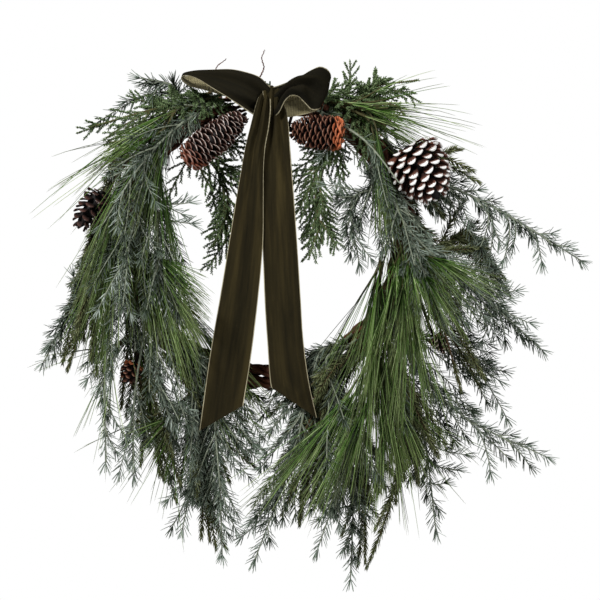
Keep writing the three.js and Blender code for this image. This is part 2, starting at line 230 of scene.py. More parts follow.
class Signal:
    """One output of a material's nodes. Arithmetic on it adds Math nodes."""

    def __init__(self, tree, socket=None):
        self.tree = tree
        self.socket = socket

    def node(self, kind, settings=None, inputs=None, output=0):
        """Adds a node: its settings first, then the values or links of its sockets."""
        made = self.tree.nodes.new("ShaderNode" + kind)
        for name, value in (settings or {}).items():
            if name == "stops":
                ramp = made.color_ramp.elements
                while len(ramp) < len(value):
                    ramp.new(1)
                for stop, (position, colour) in zip(ramp, value):
                    stop.position, stop.color = position, colour
            else:
                setattr(made, name, value)
        for name, value in (inputs or {}).items():
            if isinstance(value, Signal):
                self.tree.links.new(value.socket, made.inputs[name])
            else:
                made.inputs[name].default_value = value
        return Signal(self.tree, made.outputs[output])

    def math(self, operation, *values):
        return self.node("Math", {"operation": operation}, dict(enumerate(values)))

    def __add__(self, other):
        return self.math("ADD", self, other)

    def __sub__(self, other):
        return self.math("SUBTRACT", self, other)

    def __rsub__(self, other):
        return self.math("SUBTRACT", other, self)

    def __mul__(self, other):
        return self.math("MULTIPLY", self, other)

    def __pow__(self, other):
        return self.math("POWER", self, other)

    __radd__ = __add__
    __rmul__ = __mul__

    def ramp(self, *stops):
        """A colour for each value, between stops of a position and a colour."""
        return self.node("ValToRGB", {"stops": stops}, {"Fac": self})

    def step(self, low, high):
        """0 below low, 1 above high and smooth between."""
        return self.node("MapRange", {"interpolation_type": "SMOOTHSTEP"},
                         {"Value": self, "From Min": low, "From Max": high})

    def blend(self, first, second):
        """A mix of two colours: the first where this is 0, the second where it is 1."""
        return self.node("Mix", {"data_type": "RGBA"}, {0: self, 6: first, 7: second}, 2)

    def stretched(self, *scale):
        """Coordinates stretched by a factor for each axis."""
        return self.node("VectorMath", {"operation": "MULTIPLY"}, {0: self, 1: scale})

    def noise(self, scale, detail, roughness=0.6):
        """Noise from 0 to 1 over these coordinates."""
        return self.node("TexNoise", inputs={"Vector": self, "Scale": scale, "Detail": detail,
                                             "Roughness": roughness})


def new_finish(name, **constants):
    """A material, a start for its nodes and its shader, whose constant values are set here."""
    material = bpy.data.materials.new(name)
    material.use_nodes = True
    shader = material.node_tree.nodes["Principled BSDF"]
    for socket, value in constants.items():
        shader.inputs[socket.replace("_", " ")].default_value = value
    return material, Signal(material.node_tree), shader


def feed(shader, colour, roughness, height, depth):
    """Links a finish's colour, its roughness and the height of its relief, depth in metres."""
    relief = height.node("Bump", inputs={"Height": height, "Distance": depth, "Strength": 1.0})
    colour.tree.links.new(colour.socket, shader.inputs["Base Color"])
    colour.tree.links.new(roughness.socket, shader.inputs["Roughness"])
    colour.tree.links.new(relief.socket, shader.inputs["Normal"])


def on_map(start):
    """The two coordinates of the finish's map, together and apart."""
    place = start.node("UVMap", {"uv_map": MAP})
    parts = [place.node("SeparateXYZ", inputs={0: place}, output=i) for i in range(2)]
    return place, *parts


bark, start, shader = new_finish("vine_bark", Specular_IOR_Level=0.25)
place, round_it, along = on_map(start)
furrow = place.stretched(26, 150, 1).noise(1.0, 5, 0.7)
patches = start.node("TexCoord", output="Object").noise(38, 4)
flake = place.stretched(9, 60, 1).noise(1.0, 3).step(0.52, 0.6)
colour = furrow.ramp((0.3, srgb(38, 20, 14)), (0.5, srgb(84, 47, 33)), (0.72, srgb(124, 78, 56)))
colour = (patches.step(0.45, 0.75) * 0.7).blend(colour, srgb(66, 46, 38))
colour = (flake * 0.5).blend(colour, srgb(142, 104, 80))
feed(shader, colour, 0.95 - 0.25 * flake, furrow + 0.6 * flake, 0.0012)


def cane_line(first, until, phase, twist):
    """One cane of a strand: the strand winds round the ring, and the cane round the strand."""
    clock = np.linspace(first, until, CANE_POINTS)
    strand = beside_ring(clock, phase + VINE_TURNS * clock, VINE_OFFSET)
    side, other = sides_of(strand)
    turn = np.radians(twist + CANE_TURNS * clock)[:, None]
    return strand + CANE_OFFSET * (np.cos(turn) * side + np.sin(turn) * other)


for number, (name, (first, until, twig)) in enumerate(VINES.items()):
    rng = np.random.default_rng(100 + number)
    soup = Soup()
    for cane in range(CANES):
        line = cane_line(first + 2 * cane, until - 3 * cane, VINE_PHASE + 90 * number, 120 * cane)
        swell = 1 + 0.12 * np.sin(np.arange(len(line)) * 0.31 + cane) + rng.normal(0, 0.035, len(line))
        radii = CANE_RADIUS * swell * np.clip(np.arange(len(line), 0, -1) / 9, 0.55, 1)
        if cane == 0 and twig:
            tail = smooth_line(np.vstack([line[-1], from_ring(twig)]), 10)[1:]
            wander = rng.normal(0, 0.4 * MM, tail.shape)
            wander[-1] = 0
            shrink = np.interp(np.arange(len(tail)), [0, 10, len(tail) - 1], [2.2, 1.0, 0.55]) * MM
            line = np.vstack([line, tail + wander])
            radii = np.append(radii, shrink * (1 + 0.25 * (np.arange(len(tail)) % 6 == 0)))
        add_tube(soup, line, radii, 9, strip=(0.34 * cane, 0.34 * cane + 0.3))
    # Shreds of bark and fine tendrils lie round the canes.
    for _ in range(SHREDS):
        at = rng.uniform(first + 8, until - 24)
        clock = np.linspace(at, at + rng.uniform(7, 16), 24)
        around = VINE_PHASE + 90 * number + VINE_TURNS * clock + rng.uniform(-150, 150)
        reach = VINE_OFFSET * 0.35 + np.interp(clock, clock[[0, 12, -1]], [4, 8.5, 6]) * MM
        spot = beside_ring(clock, around, reach) + rng.normal(0, 0.3 * MM, (24, 3))
        add_tube(soup, spot, np.linspace(1.1, 0.4, 24) * MM, 5, strip=(0.2, 0.6))
    soup.piece(name, [bark])


# ---- Wires ----------------------------------------------------------------------------------
# Green enamelled florist's wire. One length turns once round each group of stems, a thicker one
# goes round the vines at the top and is twisted into the hanging eye, and one holds the bow.
WIRE_RADIUS = 0.8 * MM
WIRE_REACH = 26.14 * MM
WIRE_BACK_REACH = 21.25 * MM
WIRE_PITCH = 1.6
TIE_RADIUS = 1.1 * MM
TIE_REACH = 23.5 * MM
TIE_TURNS = 1.02
TWIST_TURNS = 2
TWIST_FROM = 195 * MM
TWIST_LENGTH = 7 * MM
BOW_TIE_CLOCK = 1.75
BACK = -90
# The outline of the hanging eye, in millimetres across and up from the ring's middle, and the clock
# angles where groups of stems are tied.
EYE = [(0, 197), (2.6, 201.5), (3.8, 206.5), (6.4, 211.5), (4.6, 217), (0, 218.5), (-4.6, 217),
       (-6.4, 211.5), (-3.8, 206.5), (-2.6, 201.5), (0, 197)]
TIED_AT = [-142, -114, -86, -54, -24, 24, 54, 86, 114, 142]

enamel, start, shader = new_finish("wire_enamel", Specular_IOR_Level=0.5)
place = start.node("TexCoord", output="Object")
worn = place.noise(420, 3).step(0.6, 0.72)
mottle = place.noise(90, 3)
colour = mottle.ramp((0.3, srgb(38, 52, 36)), (0.7, srgb(58, 76, 50)))
colour = worn.blend(colour, srgb(96, 96, 88))
feed(shader, colour, 0.38 + 0.3 * mottle, worn * -1.0 + mottle, 0.0001)


def tie_round(clock):
    """A turn of the thick wire round the vines at one clock angle, its ends lapped behind."""
    around = BACK + 360 * TIE_TURNS * np.linspace(0, 1, 49)
    return beside_ring(np.full(49, clock), around, TIE_REACH)


soup = Soup()
route = []
for clock, following in zip(TIED_AT, TIED_AT[1:] + [None]):
    turned = np.linspace(0, 1, 33)
    back_share = np.clip((np.abs(turned - 0.5) - 0.3) / 0.2, 0, 1)
    back_share = back_share ** 2 * (3 - 2 * back_share)
    reach = WIRE_REACH + (WIRE_BACK_REACH - WIRE_REACH) * back_share
    route.append(beside_ring(clock + (turned - 0.5) * WIRE_PITCH, BACK + 360 * turned, reach))
    if following is not None:
        between = np.linspace(clock, following, 12)[1:-1]
        route.append(beside_ring(between, np.full(10, BACK), WIRE_BACK_REACH))
add_tube(soup, smooth_line(np.vstack(route), 2), WIRE_RADIUS, 8)
soup.piece("binding_wire", [enamel])

soup = Soup()
add_tube(soup, tie_round(0), TIE_RADIUS, 10)
eye = smooth_line([(x * MM, 0, z * MM) for x, z in EYE], 8)
add_tube(soup, eye + RING_CENTRE + [0, TIE_REACH, 0], TIE_RADIUS, 10)
twist = np.linspace(0, 1, 40)[:, None]
for half in (0, np.pi):
    turn = 2 * np.pi * TWIST_TURNS * twist + half
    coil = np.hstack([TIE_RADIUS * np.cos(turn), TIE_RADIUS * np.sin(turn), TWIST_LENGTH * twist])
    add_tube(soup, coil + RING_CENTRE + [0, TIE_REACH, TWIST_FROM], TIE_RADIUS * 0.9, 8)
soup.piece("hanging_loop", [enamel])

soup = Soup()
add_tube(soup, tie_round(BOW_TIE_CLOCK), TIE_RADIUS, 10)
soup.piece("bow_tie_wire", [enamel])


# ---- Cones ----------------------------------------------------------------------------------
# Dry woody cones wired on by a short stalk. Their thick scales grow in spirals by the golden angle
# and stand open, so that deep shade lies between them; the tips of some are painted white. The two
# beside the bow are wired with their tips towards it, and show their tight orange bases.
GOLDEN = 2.39996
STALK_RADIUS = 2.2 * MM
STALK_REACH = 28.1 * MM
STALK_SEAT = 20.6 * MM
# The finish's map has so many rows and columns of scales. Its lowest row is for the scales at the
# cone's base, within a share of its length.
TILES = 4
BASE_SHARE = 0.24
CONES = {
    # name: base, tip, girth, clock of its stalk, vine, scales, scale width, thickness, look, turned
    "cone_1": ((-27, -37, 172), (-113, -32, 104), 24, -14, 2, 175, 19, 1.4, "banded", True),
    "cone_2": ((34, -39, 149), (112, -39, 143), 25.5, 13, 0, 150, 16, 1.6, "amber", True),
    "cone_3": ((199, -52, 125), (242, -60, 50), 43, 64, 1, 100, 16.5, 5.0, "snowy", False),
    "cone_4": ((-228, -36, 62), (-262, -40, 10), 21, -76, 0, 44, 13.5, 3.4, "frosty", False),
    "cone_5": ((-182, -23, -176), (-196, -26, -206), 16, -131, 3, 44, 9, 2.4, "amber", False),
    "cone_6": ((236, -28, -138), (256, -29, -160), 13, 108, 2, 40, 8, 2.0, "banded", False),
}
CONE_LOOKS = {
    # look: inner, body and outer colours of a scale, the inner one near black as painted shade deep
    # between the scales, its rim's colour and where the rim begins
    "banded": ((16, 9, 7), (46, 25, 18), (92, 52, 38), (238, 222, 212), 0.9),
    "amber": ((16, 8, 6), (46, 23, 16), (98, 53, 36), (178, 132, 108), 0.9),
    "snowy": ((14, 9, 8), (56, 31, 23), (118, 74, 58), (246, 245, 242), 0.87),
    "frosty": ((12, 8, 7), (34, 19, 15), (72, 44, 36), (224, 222, 220), 0.96),
}
# The colour that each look's scales have at the cone's base.
BASE_TINT = {"banded": (128, 72, 52), "amber": (200, 112, 70), "snowy": (104, 60, 44),
             "frosty": (64, 38, 30)}


def cone_finish(look):
    """Woody scales: dark at the root, partly as painted shade where they lie deep between others, striped
    along, worn or painted at the rim. The row of the map that a scale uses says how near the cone's base
    it is, where the scales are brighter."""
    inner, body, outer, rim, rim_from = CONE_LOOKS[look]
    material, start, shader = new_finish("cone_" + look, Specular_IOR_Level=0.3)
    place, across, up = on_map(start)
    along = (up * TILES).math("FRACT", up * TILES)
    across = (across * TILES).math("FRACT", across * TILES)
    stripes = place.stretched(150, 14, 1).noise(1.0, 3)
    patch = place.noise(9, 4)
    # Painted shade in part: each scale darkens to near black towards its root, deep between the others.
    colour = (along + 0.3 * (stripes - 0.5)).ramp(
        (0.3, srgb(*inner)), (0.75, srgb(*body)), (0.97, srgb(*outer)))
    colour = (patch.step(0.5, 0.75) * 0.5).blend(colour, srgb(*inner))
    at_base = 1 - up.step(0.24, 0.26)
    colour = (at_base * along.step(0.35, 0.8)).blend(colour, srgb(*BASE_TINT[look]))
    colour = ((stripes * at_base) * 0.35).blend(colour, srgb(*body))
    edge = along + 0.26 * (place.noise(52, 4) - 0.5) - 0.04 * patch
    painted = edge.step(rim_from, rim_from + 0.05)
    if look in ("banded", "amber"):
        painted = painted * (0.82 - 0.66 * at_base)
    colour = (painted * 0.97).blend(colour, srgb(*rim))
    feed(shader, colour, 0.7 - 0.15 * painted, stripes + 0.5 * painted, 0.0005)
    return material


CONE_FINISHES = {look: cone_finish(look) for look in CONE_LOOKS}


def cone_girth(share, girth):
    """How far the scales' tips stand from the axis at a share of the cone's length."""
    swell = 0.8 + 0.2 * np.sin(np.pi * np.clip(0.1 + 0.9 * share, 0, 1))
    return girth * swell * (1 - 0.55 * share ** 5) * np.sqrt(np.clip(share / 0.07, 0.2, 1))


def add_scales(soup, base, axis, girth, count, width, thick, turned_over, rng):
    """All the scales of a cone from its base to its tip, each one a closed wedge that curves up
    towards the tip and ends in a rounded shield."""
    length = np.linalg.norm(axis)
    heading = axis / length
    side = unit(np.cross(heading, [0.2, 0.9, 0.3]))
    other = np.cross(heading, side)
    from_root = np.array([0, 0.35, 0.65, 0.84, 0.93, 0.975, 1.0])[:, None]
    spread = np.array([0.3, 0.55, 0.85, 1.0, 0.95, 0.72, 0.3])[:, None]
    depth = np.array([0.35, 0.45, 0.6, 1.0, 1.0, 0.75, 0.3])[:, None]
    turned = np.linspace(0, 2 * np.pi, 10, endpoint=False)[None]
    rows, columns = len(from_root), turned.shape[1]
    faces = np.vstack([grid_faces(rows, columns, True),
                       [[(rows - 1) * columns, (rows - 1) * columns + i, (rows - 1) * columns + i + 1]
                        for i in range(1, columns - 1)]])
    for scale in range(count):
        share = (scale + 0.5) / count
        turn = GOLDEN * scale + rng.normal(0, 0.06)
        out = np.cos(turn) * side + np.sin(turn) * other
        roll = rng.normal(0, 0.14)
        across = unit(np.cross(heading, out) + roll * heading)
        reach = cone_girth(share, girth) * rng.uniform(0.92, 1.05)
        if turned_over:
            lean = np.interp(share, [0, 0.08, 0.2, 0.85, 1], [2.5, 1.9, 1.5, 1.42, 0.8])
            bulk = np.interp(share, [0, 0.12, 0.22], [2.6, 2.0, 1])
        else:
            lean, bulk = np.interp(share, [0, 0.1, 0.4, 0.8, 1], [2.0, 1.5, 1.25, 1.0, 0.45]), 1
        lean += rng.normal(0, 0.06)
        size = np.interp(share, [0, 0.12, 0.8, 1], [0.55, 1, 0.85, 0.45]) * rng.uniform(0.85, 1.12)
        outward = 0.15 * girth + (reach - 0.15 * girth) * from_root ** 0.9
        forward = share * length - (reach / np.tan(lean)) * (1 - from_root)
        forward = forward + 0.1 * reach * (from_root ** 3 - 1)
        wide = width * size / 2 * spread * np.cos(turned)
        deep = thick * bulk * size / 2 * depth * np.sin(turned)
        deep = deep - 0.12 * width * size * spread * np.cos(turned) ** 2
        radial = outward - deep * np.cos(lean)
        axial = forward + deep * np.sin(lean)
        points = base + heading * axial[..., None] + out * radial[..., None] + across * wide[..., None]
        places = np.stack(np.broadcast_arrays(np.abs(1 - turned / np.pi), from_root), -1)
        row = 0 if share < BASE_SHARE else rng.integers(1, TILES)
        places = (np.array([rng.integers(TILES), row]) + 0.02 + 0.96 * places) / TILES
        soup.add(points, faces, places)


for name, (base, tip, girth, clock, vine, count, width, thick, look, turned) in CONES.items():
    rng = np.random.default_rng(3000 + clock % 360)
    soup = Soup()
    base, tip = from_ring(base), from_ring(tip)
    foot, axis = (tip, base - tip) if turned else (base, tip - base)
    core = np.linspace(0.02, 0.97, 24)
    core_girth = cone_girth(core, girth * MM) * np.interp(core, [0, 0.1, 0.8, 1], [0.2, 0.5, 0.45, 0.1])
    add_tube(soup, foot + axis * core[:, None], core_girth, 12, (0.3, 0.32), (0.26, 0.28))
    add_scales(soup, foot, axis, girth * MM, count, width * MM, thick * MM, turned, rng)
    around = VINE_PHASE + 90 * vine + VINE_TURNS * (clock % 360)
    stalk = [base + 0.12 * (tip - base), base, beside_ring(clock, around, STALK_REACH),
             beside_ring(clock, around, STALK_SEAT)]
    add_tube(soup, smooth_line(stalk, 6), STALK_RADIUS, 8, (0.3, 0.32), (0.3, 0.4))
    soup.piece(name, [CONE_FINISHES[look]])


# ---- Sprigs ---------------------------------------------------------------------------------
# Every sprig is cut with a bare end that lies along the vines under the binding wire, then lifts
# away from the ring. Each one is listed with the clock angle where it is tied, where its stem lies
# round the ring's section, and the bend and the tip of its stem in millimetres.
STEM_REACH = 22.65 * MM
STEM_RADIUS = 2.2 * MM
SPRIGS = {
    "cedar_sprig_1": (24, -12, (147, -4, 209), (214, -8, 221)),
    "pine_spray_1": (24, 48, (140, -40, 180), (176, -50, 186)),
    "cedar_sprig_2": (24, 176, (71, -14, 87), (80, -22, -8)),
    "frosted_sprig_1": (24, 100, (142, -66, 130), (192, -100, 64)),
    "frosted_sprig_2": (54, 10, (315, -22, 45), (452, -30, -39)),
    "frosted_sprig_3": (54, 155, (122, -40, 52), (133, -44, -48)),
    "spruce_tail_1": (54, -25, (224, 8, 112), (287, 2, 126)),
    "frosted_sprig_4": (54, 112, (196, -84, 10), (245, -96, -116)),
    "pine_spray_2": (86, 95, (200, -62, -60), (194, -78, -120)),
    "pine_spray_3": (86, 152, (160, -38, -40), (128, -44, -92)),
    "spruce_tail_2": (86, -15, (280, -6, 3), (344, -10, -67)),
    "frosted_sprig_5": (86, 22, (301, -34, -81), (395, -38, -165)),
    "spruce_tail_3": (86, 60, (245, -46, -116), (276, -52, -225)),
    "frosted_sprig_6": (114, 0, (252, -10, -151), (337, -16, -207)),
    "frosted_sprig_7": (114, 34, (266, -36, -242), (403, -40, -312)),
    "pine_spray_4": (114, 112, (168, -62, -220), (160, -72, -300)),
    "spruce_tail_4": (114, 76, (204, -46, -242), (213, -50, -354)),
    "frosted_sprig_8": (114, -28, (224, 2, -284), (242, -4, -426)),
    "frosted_sprig_9": (142, 40, (122, -36, -340), (119, -42, -489)),
    "frosted_sprig_10": (142, 100, (112, -64, -298), (70, -68, -445)),
    "spruce_tail_5": (142, -12, (136, -4, -326), (141, -8, -469)),
    "frosted_sprig_11": (142, 126, (40, -38, -305), (-18, -40, -461)),
    "spruce_tail_6": (142, 72, (68, -24, -284), (46, -26, -410)),
    "frosted_sprig_12": (-24, -18, (-126, 4, 211), (-188, 0, 227)),
    "cedar_sprig_3": (-24, 14, (-161, -20, 178), (-245, -26, 154)),
    "pine_spray_5": (-24, 52, (-140, -46, 150), (-176, -54, 132)),
    "cedar_sprig_4": (-24, 186, (-56, 10, 73), (-55, 2, -29)),
    "frosted_sprig_13": (-24, 88, (-166, -84, 104), (-231, -88, 3)),
    "frosted_sprig_14": (-54, 104, (-186, -72, -4), (-214, -80, -130)),
    "pine_spray_6": (-54, 36, (-205, -40, 45), (-230, -46, -10)),
    "frosted_sprig_15": (-54, 142, (-147, -56, -4), (-146, -60, -95)),
    "spruce_tail_7": (-54, -4, (-242, 2, -4), (-294, -4, -151)),
    "frosted_sprig_16": (-86, 6, (-270, -22, -102), (-316, -28, -186)),
    "frosted_sprig_17": (-86, 76, (-220, -58, -158), (-221, -60, -326)),
    "pine_spray_7": (-86, 150, (-140, -40, -40), (-124, -44, -80)),
    "spruce_tail_8": (-86, 40, (-252, -38, -116), (-279, -42, -197)),
    "frosted_sprig_18": (-114, 112, (-147, -58, -207), (-92, -60, -266)),
    "frosted_sprig_19": (-114, 70, (-182, -48, -228), (-182, -52, -343)),
    "pine_spray_8": (-114, 30, (-206, -26, -150), (-224, -34, -190)),
    "spruce_tail_9": (-114, -14, (-161, 0, -242), (-140, -8, -354)),
    "frosted_sprig_20": (-142, 96, (-66, -36, -312), (-59, -42, -455)),
    "frosted_sprig_21": (-142, 50, (-98, -26, -312), (-118, -30, -421)),
    "spruce_tail_10": (-142, 2, (-91, 0, -298), (-77, -6, -438)),
    "pine_spray_9": (-142, 22, (-130, -12, -260), (-150, -16, -300)),
}
# The greenery's edges, in pixels from the ring's middle, every 15 degrees clockwise from the top.
OUTER_EDGE = [150, 150, 168, 184, 184, 204, 226, 248, 262, 282, 288, 284, 286, 276, 244, 226, 218,
              200, 182, 178, 176, 172, 160, 148]
INNER_EDGE = [112, 80, 76, 74, 76, 84, 104, 142, 160, 154, 140, 136, 128, 114, 94, 80, 74,
              72, 76, 74, 66, 64, 62, 84]
# The ribbon's tails: how far down from the ring's middle, and their left and right edges, in pixels.
TAILS = [(-140, -6, 22), (-90, -20, 25), (0, -36, 32), (100, -52, 36), (150, -60, 46), (196, -66, 52)]
# The tails hide what stands less than this in front of the ring's middle.
BEHIND_RIBBON = 38 * MM
# The share of a cone's girth that greenery keeps clear of, and how far in front it may cross one.
CONE_ROOM = 0.96
PAST_CONES = 104 * MM
# How far greenery stands out past the wreath's box before it bends back, how softly it does so, and
# where the wall behind it is.
ROOM = np.array([16, 2, 18]) * MM
SPARE = 9 * MM
WALL = 3 * MM
# The finish's map has a strip along its foot for the stems, and the needles stand above it.
STEM_STRIP = (0.01, 0.09)
NEEDLE_STRIP = (0.12, 0.99)
# A side shoot that is cut shorter than so many points, 2 mm apart, is left out.
SHORTEST_TWIG = 8


def stem_line(name):
    """The centre of a sprig's stem, with a point every 3 mm."""
    clock, around, bend, tip = SPRIGS[name]
    way = np.sign(clock)
    tied = [beside_ring(clock + lead * way, around, STEM_REACH + lift)
            for lead, lift in ((-4, 0), (0, 0), (4, 0), (11, 10 * MM))]
    return evenly(smooth_line([*tied, from_ring(bend), from_ring(tip)], 10), 3 * MM)[0]


def sprigs_of(kind):
    """The names and numbers of one kind's sprigs, each with random draws of its own."""
    seeds = {name: 1000 + index for index, name in enumerate(SPRIGS) if name.startswith(kind)}
    return [(name, int(name.split("_")[-1]), np.random.default_rng(seed)) for name, seed in seeds.items()]


def hold_in(points):
    """Bends what would stick out past the wreath's own box, or into the wall behind, gently back."""
    low, high = np.array(cad_low) - ROOM, np.array(cad_high) + ROOM
    high[1] = WALL
    for axis in range(3):
        over = np.maximum(points[..., axis] - high[axis], 0)
        under = np.maximum(low[axis] - points[..., axis], 0)
        points[..., axis] += under - over + over / (1 + over / SPARE) - under / (1 + under / SPARE)
    return points


def in_outline(points, slack):
    """Whether points lie between the greenery's two edges, or within a slack in pixels of them."""
    spot = (points - RING_CENTRE)[..., [0, 2]] / PIXEL_SIZE
    clock = np.degrees(np.arctan2(spot[..., 0], spot[..., 1])) % 360
    clocks = np.arange(0, 375, 15)
    reach = np.hypot(spot[..., 0], spot[..., 1])
    outer = np.interp(clock, clocks, OUTER_EDGE + OUTER_EDGE[:1])
    inner = np.interp(clock, clocks, INNER_EDGE + INNER_EDGE[:1])
    return (reach < outer + slack) & (reach > inner - slack)


def trimmed(line, slack):
    """The start of a line, up to where it would leave the mass of greenery."""
    outside = np.flatnonzero(~in_outline(line, slack))
    outside = outside[outside > len(line) // 5]
    return line[: outside[0]] if len(outside) else line


def clear_of_cones(points):
    """Whether points neither hide a cone, as seen from the front, nor stand inside one. What stands
    further forward than the foremost cone may cross it."""
    free = np.ones(points.shape[:-1], bool)
    in_front = RING_CENTRE[1] - points[..., 1] > PAST_CONES
    for base, tip, girth, *_ in CONES.values():
        base, tip, girth = from_ring(base), from_ring(tip), girth * MM * CONE_ROOM
        line = (tip - base)[[0, 2]]
        off = points[..., [0, 2]] - base[[0, 2]]
        share = np.clip(off @ line / (line @ line), 0, 1)
        away = np.linalg.norm(off - share[..., None] * line, axis=-1)
        depth = base[1] + share * (tip - base)[1] - points[..., 1]
        free &= (away > girth) | (depth < -0.3 * girth) | in_front
    return free


def clear_of_ribbon(points):
    """Whether points leave the ribbon's two tails and its knot in sight from the front."""
    down = -(points[..., 2] - RING_CENTRE[2]) / PIXEL_SIZE
    across = (points[..., 0] - RING_CENTRE[0]) / PIXEL_SIZE
    left = np.interp(down, [d for d, _, _ in TAILS], [low for _, low, _ in TAILS])
    right = np.interp(down, [d for d, _, _ in TAILS], [high for _, _, high in TAILS])
    hidden = (across > left) & (across < right) & (down > TAILS[0][0]) & (down < TAILS[-1][0])
    return ~(hidden & (points[..., 1] < RING_CENTRE[1] - BEHIND_RIBBON))


def unblocked(line):
    """The start of a line, up to where it would cross in front of a cone or the ribbon."""
    blocked = np.flatnonzero(~(clear_of_cones(line) & clear_of_ribbon(line)))
    return line[: blocked[0]] if len(blocked) else line


def seen_at(across, down, depth):
    """The point that the photograph shows at a pixel, so many millimetres in front of the ring."""
    y = RING_CENTRE[1] - depth * MM
    scale = PIXEL_SIZE * (y - CAMERA_AT[1]) / CAMERA_DISTANCE
    right, below = (across - PIXELS / 2) * scale, (down - PIXELS / 2) * scale
    return np.array([CAMERA_AT[0] + right, y, CAMERA_AT[2] - below])


def grow_to(line, at, tip, lead):
    """A side shoot that leaves the line at a share of its length and bends over to its own tip. lead
    is how far it goes the line's way first, as a share of its reach."""
    index = int(at * (len(line) - 1))
    root, along = line[index], tangents(line)[index]
    reach = np.linalg.norm(tip - root)
    share = np.linspace(0, 1, 16)[:, None]
    middle = root + lead * reach * along
    path = (1 - share) ** 2 * root + 2 * share * (1 - share) * middle + share ** 2 * tip
    return evenly(hold_in(path), 2 * MM)[0]


def listed_shoots(stem, tips, lead=0.38):
    """The side shoots of a stem that the photograph shows."""
    return [grow_to(stem, at, seen_at(across, down, depth), lead) for at, across, down, depth in tips]


def grow_shoot(line, at, rng, length, pitch, spread, droop, side):
    """A side shoot: it leaves the line at a share of its length, on one side as seen from the front,
    bends towards the way the line goes and hangs a little under its weight."""
    index = int(at * (len(line) - 1))
    along = tangents(line)[index]
    sideways = unit(np.cross(FRONT, along))
    forward = np.cross(along, sideways)
    roll = rng.normal(0, spread)
    out = side * np.cos(roll) * sideways + np.sin(roll) * forward
    lean = pitch * rng.uniform(0.8, 1.2)
    heading = np.cos(lean) * along + np.sin(lean) * out
    share = np.linspace(0, 1, 14)[:, None]
    bend = (0.22 * along - droop * UP) * length
    return evenly(hold_in(line[index] + heading * length * share + bend * share ** 2), 2 * MM)[0]


def add_needles(soup, roots, headings, lengths, width, shades, bends, profile, section=(1, 1)):
    """Adds a needle at each root, except where it would hide a cone or the ribbon. bends is how far
    its tip has swung, as a share of its length, and shades is its column on the finish's map. The
    profile gives shares of its length with its width there, and the section flattens it."""
    count = len(roots)
    if not count:
        return
    lengths = np.broadcast_to(lengths, count)[:, None, None]
    share = np.array([s for s, _ in profile] + [1])[None, :, None]
    middle = roots[:, None] + lengths * (headings[:, None] * share + bends[:, None] * share ** 2)
    side = unit(np.cross(headings, [0.21, 0.53, 0.82]))
    other = np.cross(headings, side)
    turn = np.array([np.pi / 2, np.pi * 7 / 6, np.pi * 11 / 6])
    ring = (np.cos(turn)[None, :, None] * side[:, None] * section[0]
            + np.sin(turn)[None, :, None] * other[:, None] * section[1])
    girth = np.array([g for _, g in profile])[None, :, None, None] * width / 2
    rings = middle[:, :-1, None] + ring[:, None] * girth
    points = hold_in(np.concatenate([rings.reshape(count, -1, 3), middle[:, -1:]], 1))
    rows = len(profile)
    probes = points[:, [0, 3 * (rows // 2), 3 * rows - 3, 3 * rows]]
    free = (clear_of_cones(probes) & clear_of_ribbon(probes)).all(1)
    points, shades, count = points[free], shades[free], free.sum()
    if not count:
        return
    tip = 3 * rows
    faces = np.vstack([grid_faces(rows, 3, True), [[2, 1, 0]],
                       [[tip - 3, tip - 2, tip], [tip - 2, tip - 1, tip], [tip - 1, tip - 3, tip]]])
    faces = faces[None] + (np.arange(count) * (tip + 1))[:, None, None]
    column = 0.03 + 0.93 * np.clip(shades, 0, 1)[:, None] + np.tile([0, 0.006, 0.012], rows)
    column = np.append(column, column[:, -1:], 1)
    height = np.append(np.repeat([s for s, _ in profile], 3), 1)
    height = NEEDLE_STRIP[0] + (NEEDLE_STRIP[1] - NEEDLE_STRIP[0]) * height
    places = np.stack([column, np.broadcast_to(height, column.shape)], -1)
    soup.add(points, faces, places)


def needle_headings(along, turn, pitch):
    """Directions that leave a stem at a pitch, turned about it from its side as seen in front."""
    sideways = np.cross(FRONT, along)
    sideways = unit(sideways + 1e-6)
    forward = np.cross(along, sideways)
    out = np.cos(turn)[:, None] * sideways + np.sin(turn)[:, None] * forward
    return np.cos(pitch)[:, None] * along + np.sin(pitch)[:, None] * out, out


def add_stem(soup, line, thick, thin, sides, column):
    """A stem on its own strip of the map, thinner towards its end."""
    add_tube(soup, line, np.linspace(thick, thin, len(line)), sides,
             (0.9 * column, 0.9 * column + 0.08), STEM_STRIP)


def needle_finish(name, shades, stem, tip, bloom, rough, relief):
    """The finish of one kind of greenery: a ramp of shades from dark to pale, whose column carries how
    old or young a needle is and, for some kinds, painted light and shade, a tint towards the tips,
    painted shade at each needle's root, a pale waxy bloom in streaks, and the stem's bark on its own
    strip."""
    material, start, shader = new_finish(name, Specular_IOR_Level=0.18)
    place, column, height = on_map(start)
    speckle = place.stretched(240, 46, 1).noise(1.0, 3)
    streak = place.stretched(330, 4, 1).noise(1.0, 2)
    stops = [(i / (len(shades) - 1), srgb(*shade)) for i, shade in enumerate(shades)]
    colour = (column + 0.16 * (streak - 0.5)).ramp(*stops)
    along = height.step(*NEEDLE_STRIP)
    colour = ((along ** 3) * 0.55).blend(colour, srgb(*tip))
    # Painted shade: each needle darkens towards its root, where it sits in the shade of the stem and the
    # other needles.
    colour = (0.3 - 0.3 * along.step(0, 0.3)).blend(colour, srgb(*shades[0]))
    waxy = speckle.step(0.5, 0.7) * along.step(0.05, 0.4)
    colour = (waxy * bloom[0]).blend(colour, srgb(*bloom[1]))
    on_stem = 1 - height.step(0.1, 0.112)
    ridge = place.stretched(90, 420, 1).noise(1.0, 4)
    stem_colour = ridge.ramp((0.3, srgb(*stem[0])), (0.7, srgb(*stem[1])))
    colour = on_stem.blend(colour, stem_colour)
    roughness = rough + 0.2 * (speckle - 0.5) + 0.15 * on_stem
    feed(shader, colour, roughness, on_stem * ridge + streak, relief)
    return material


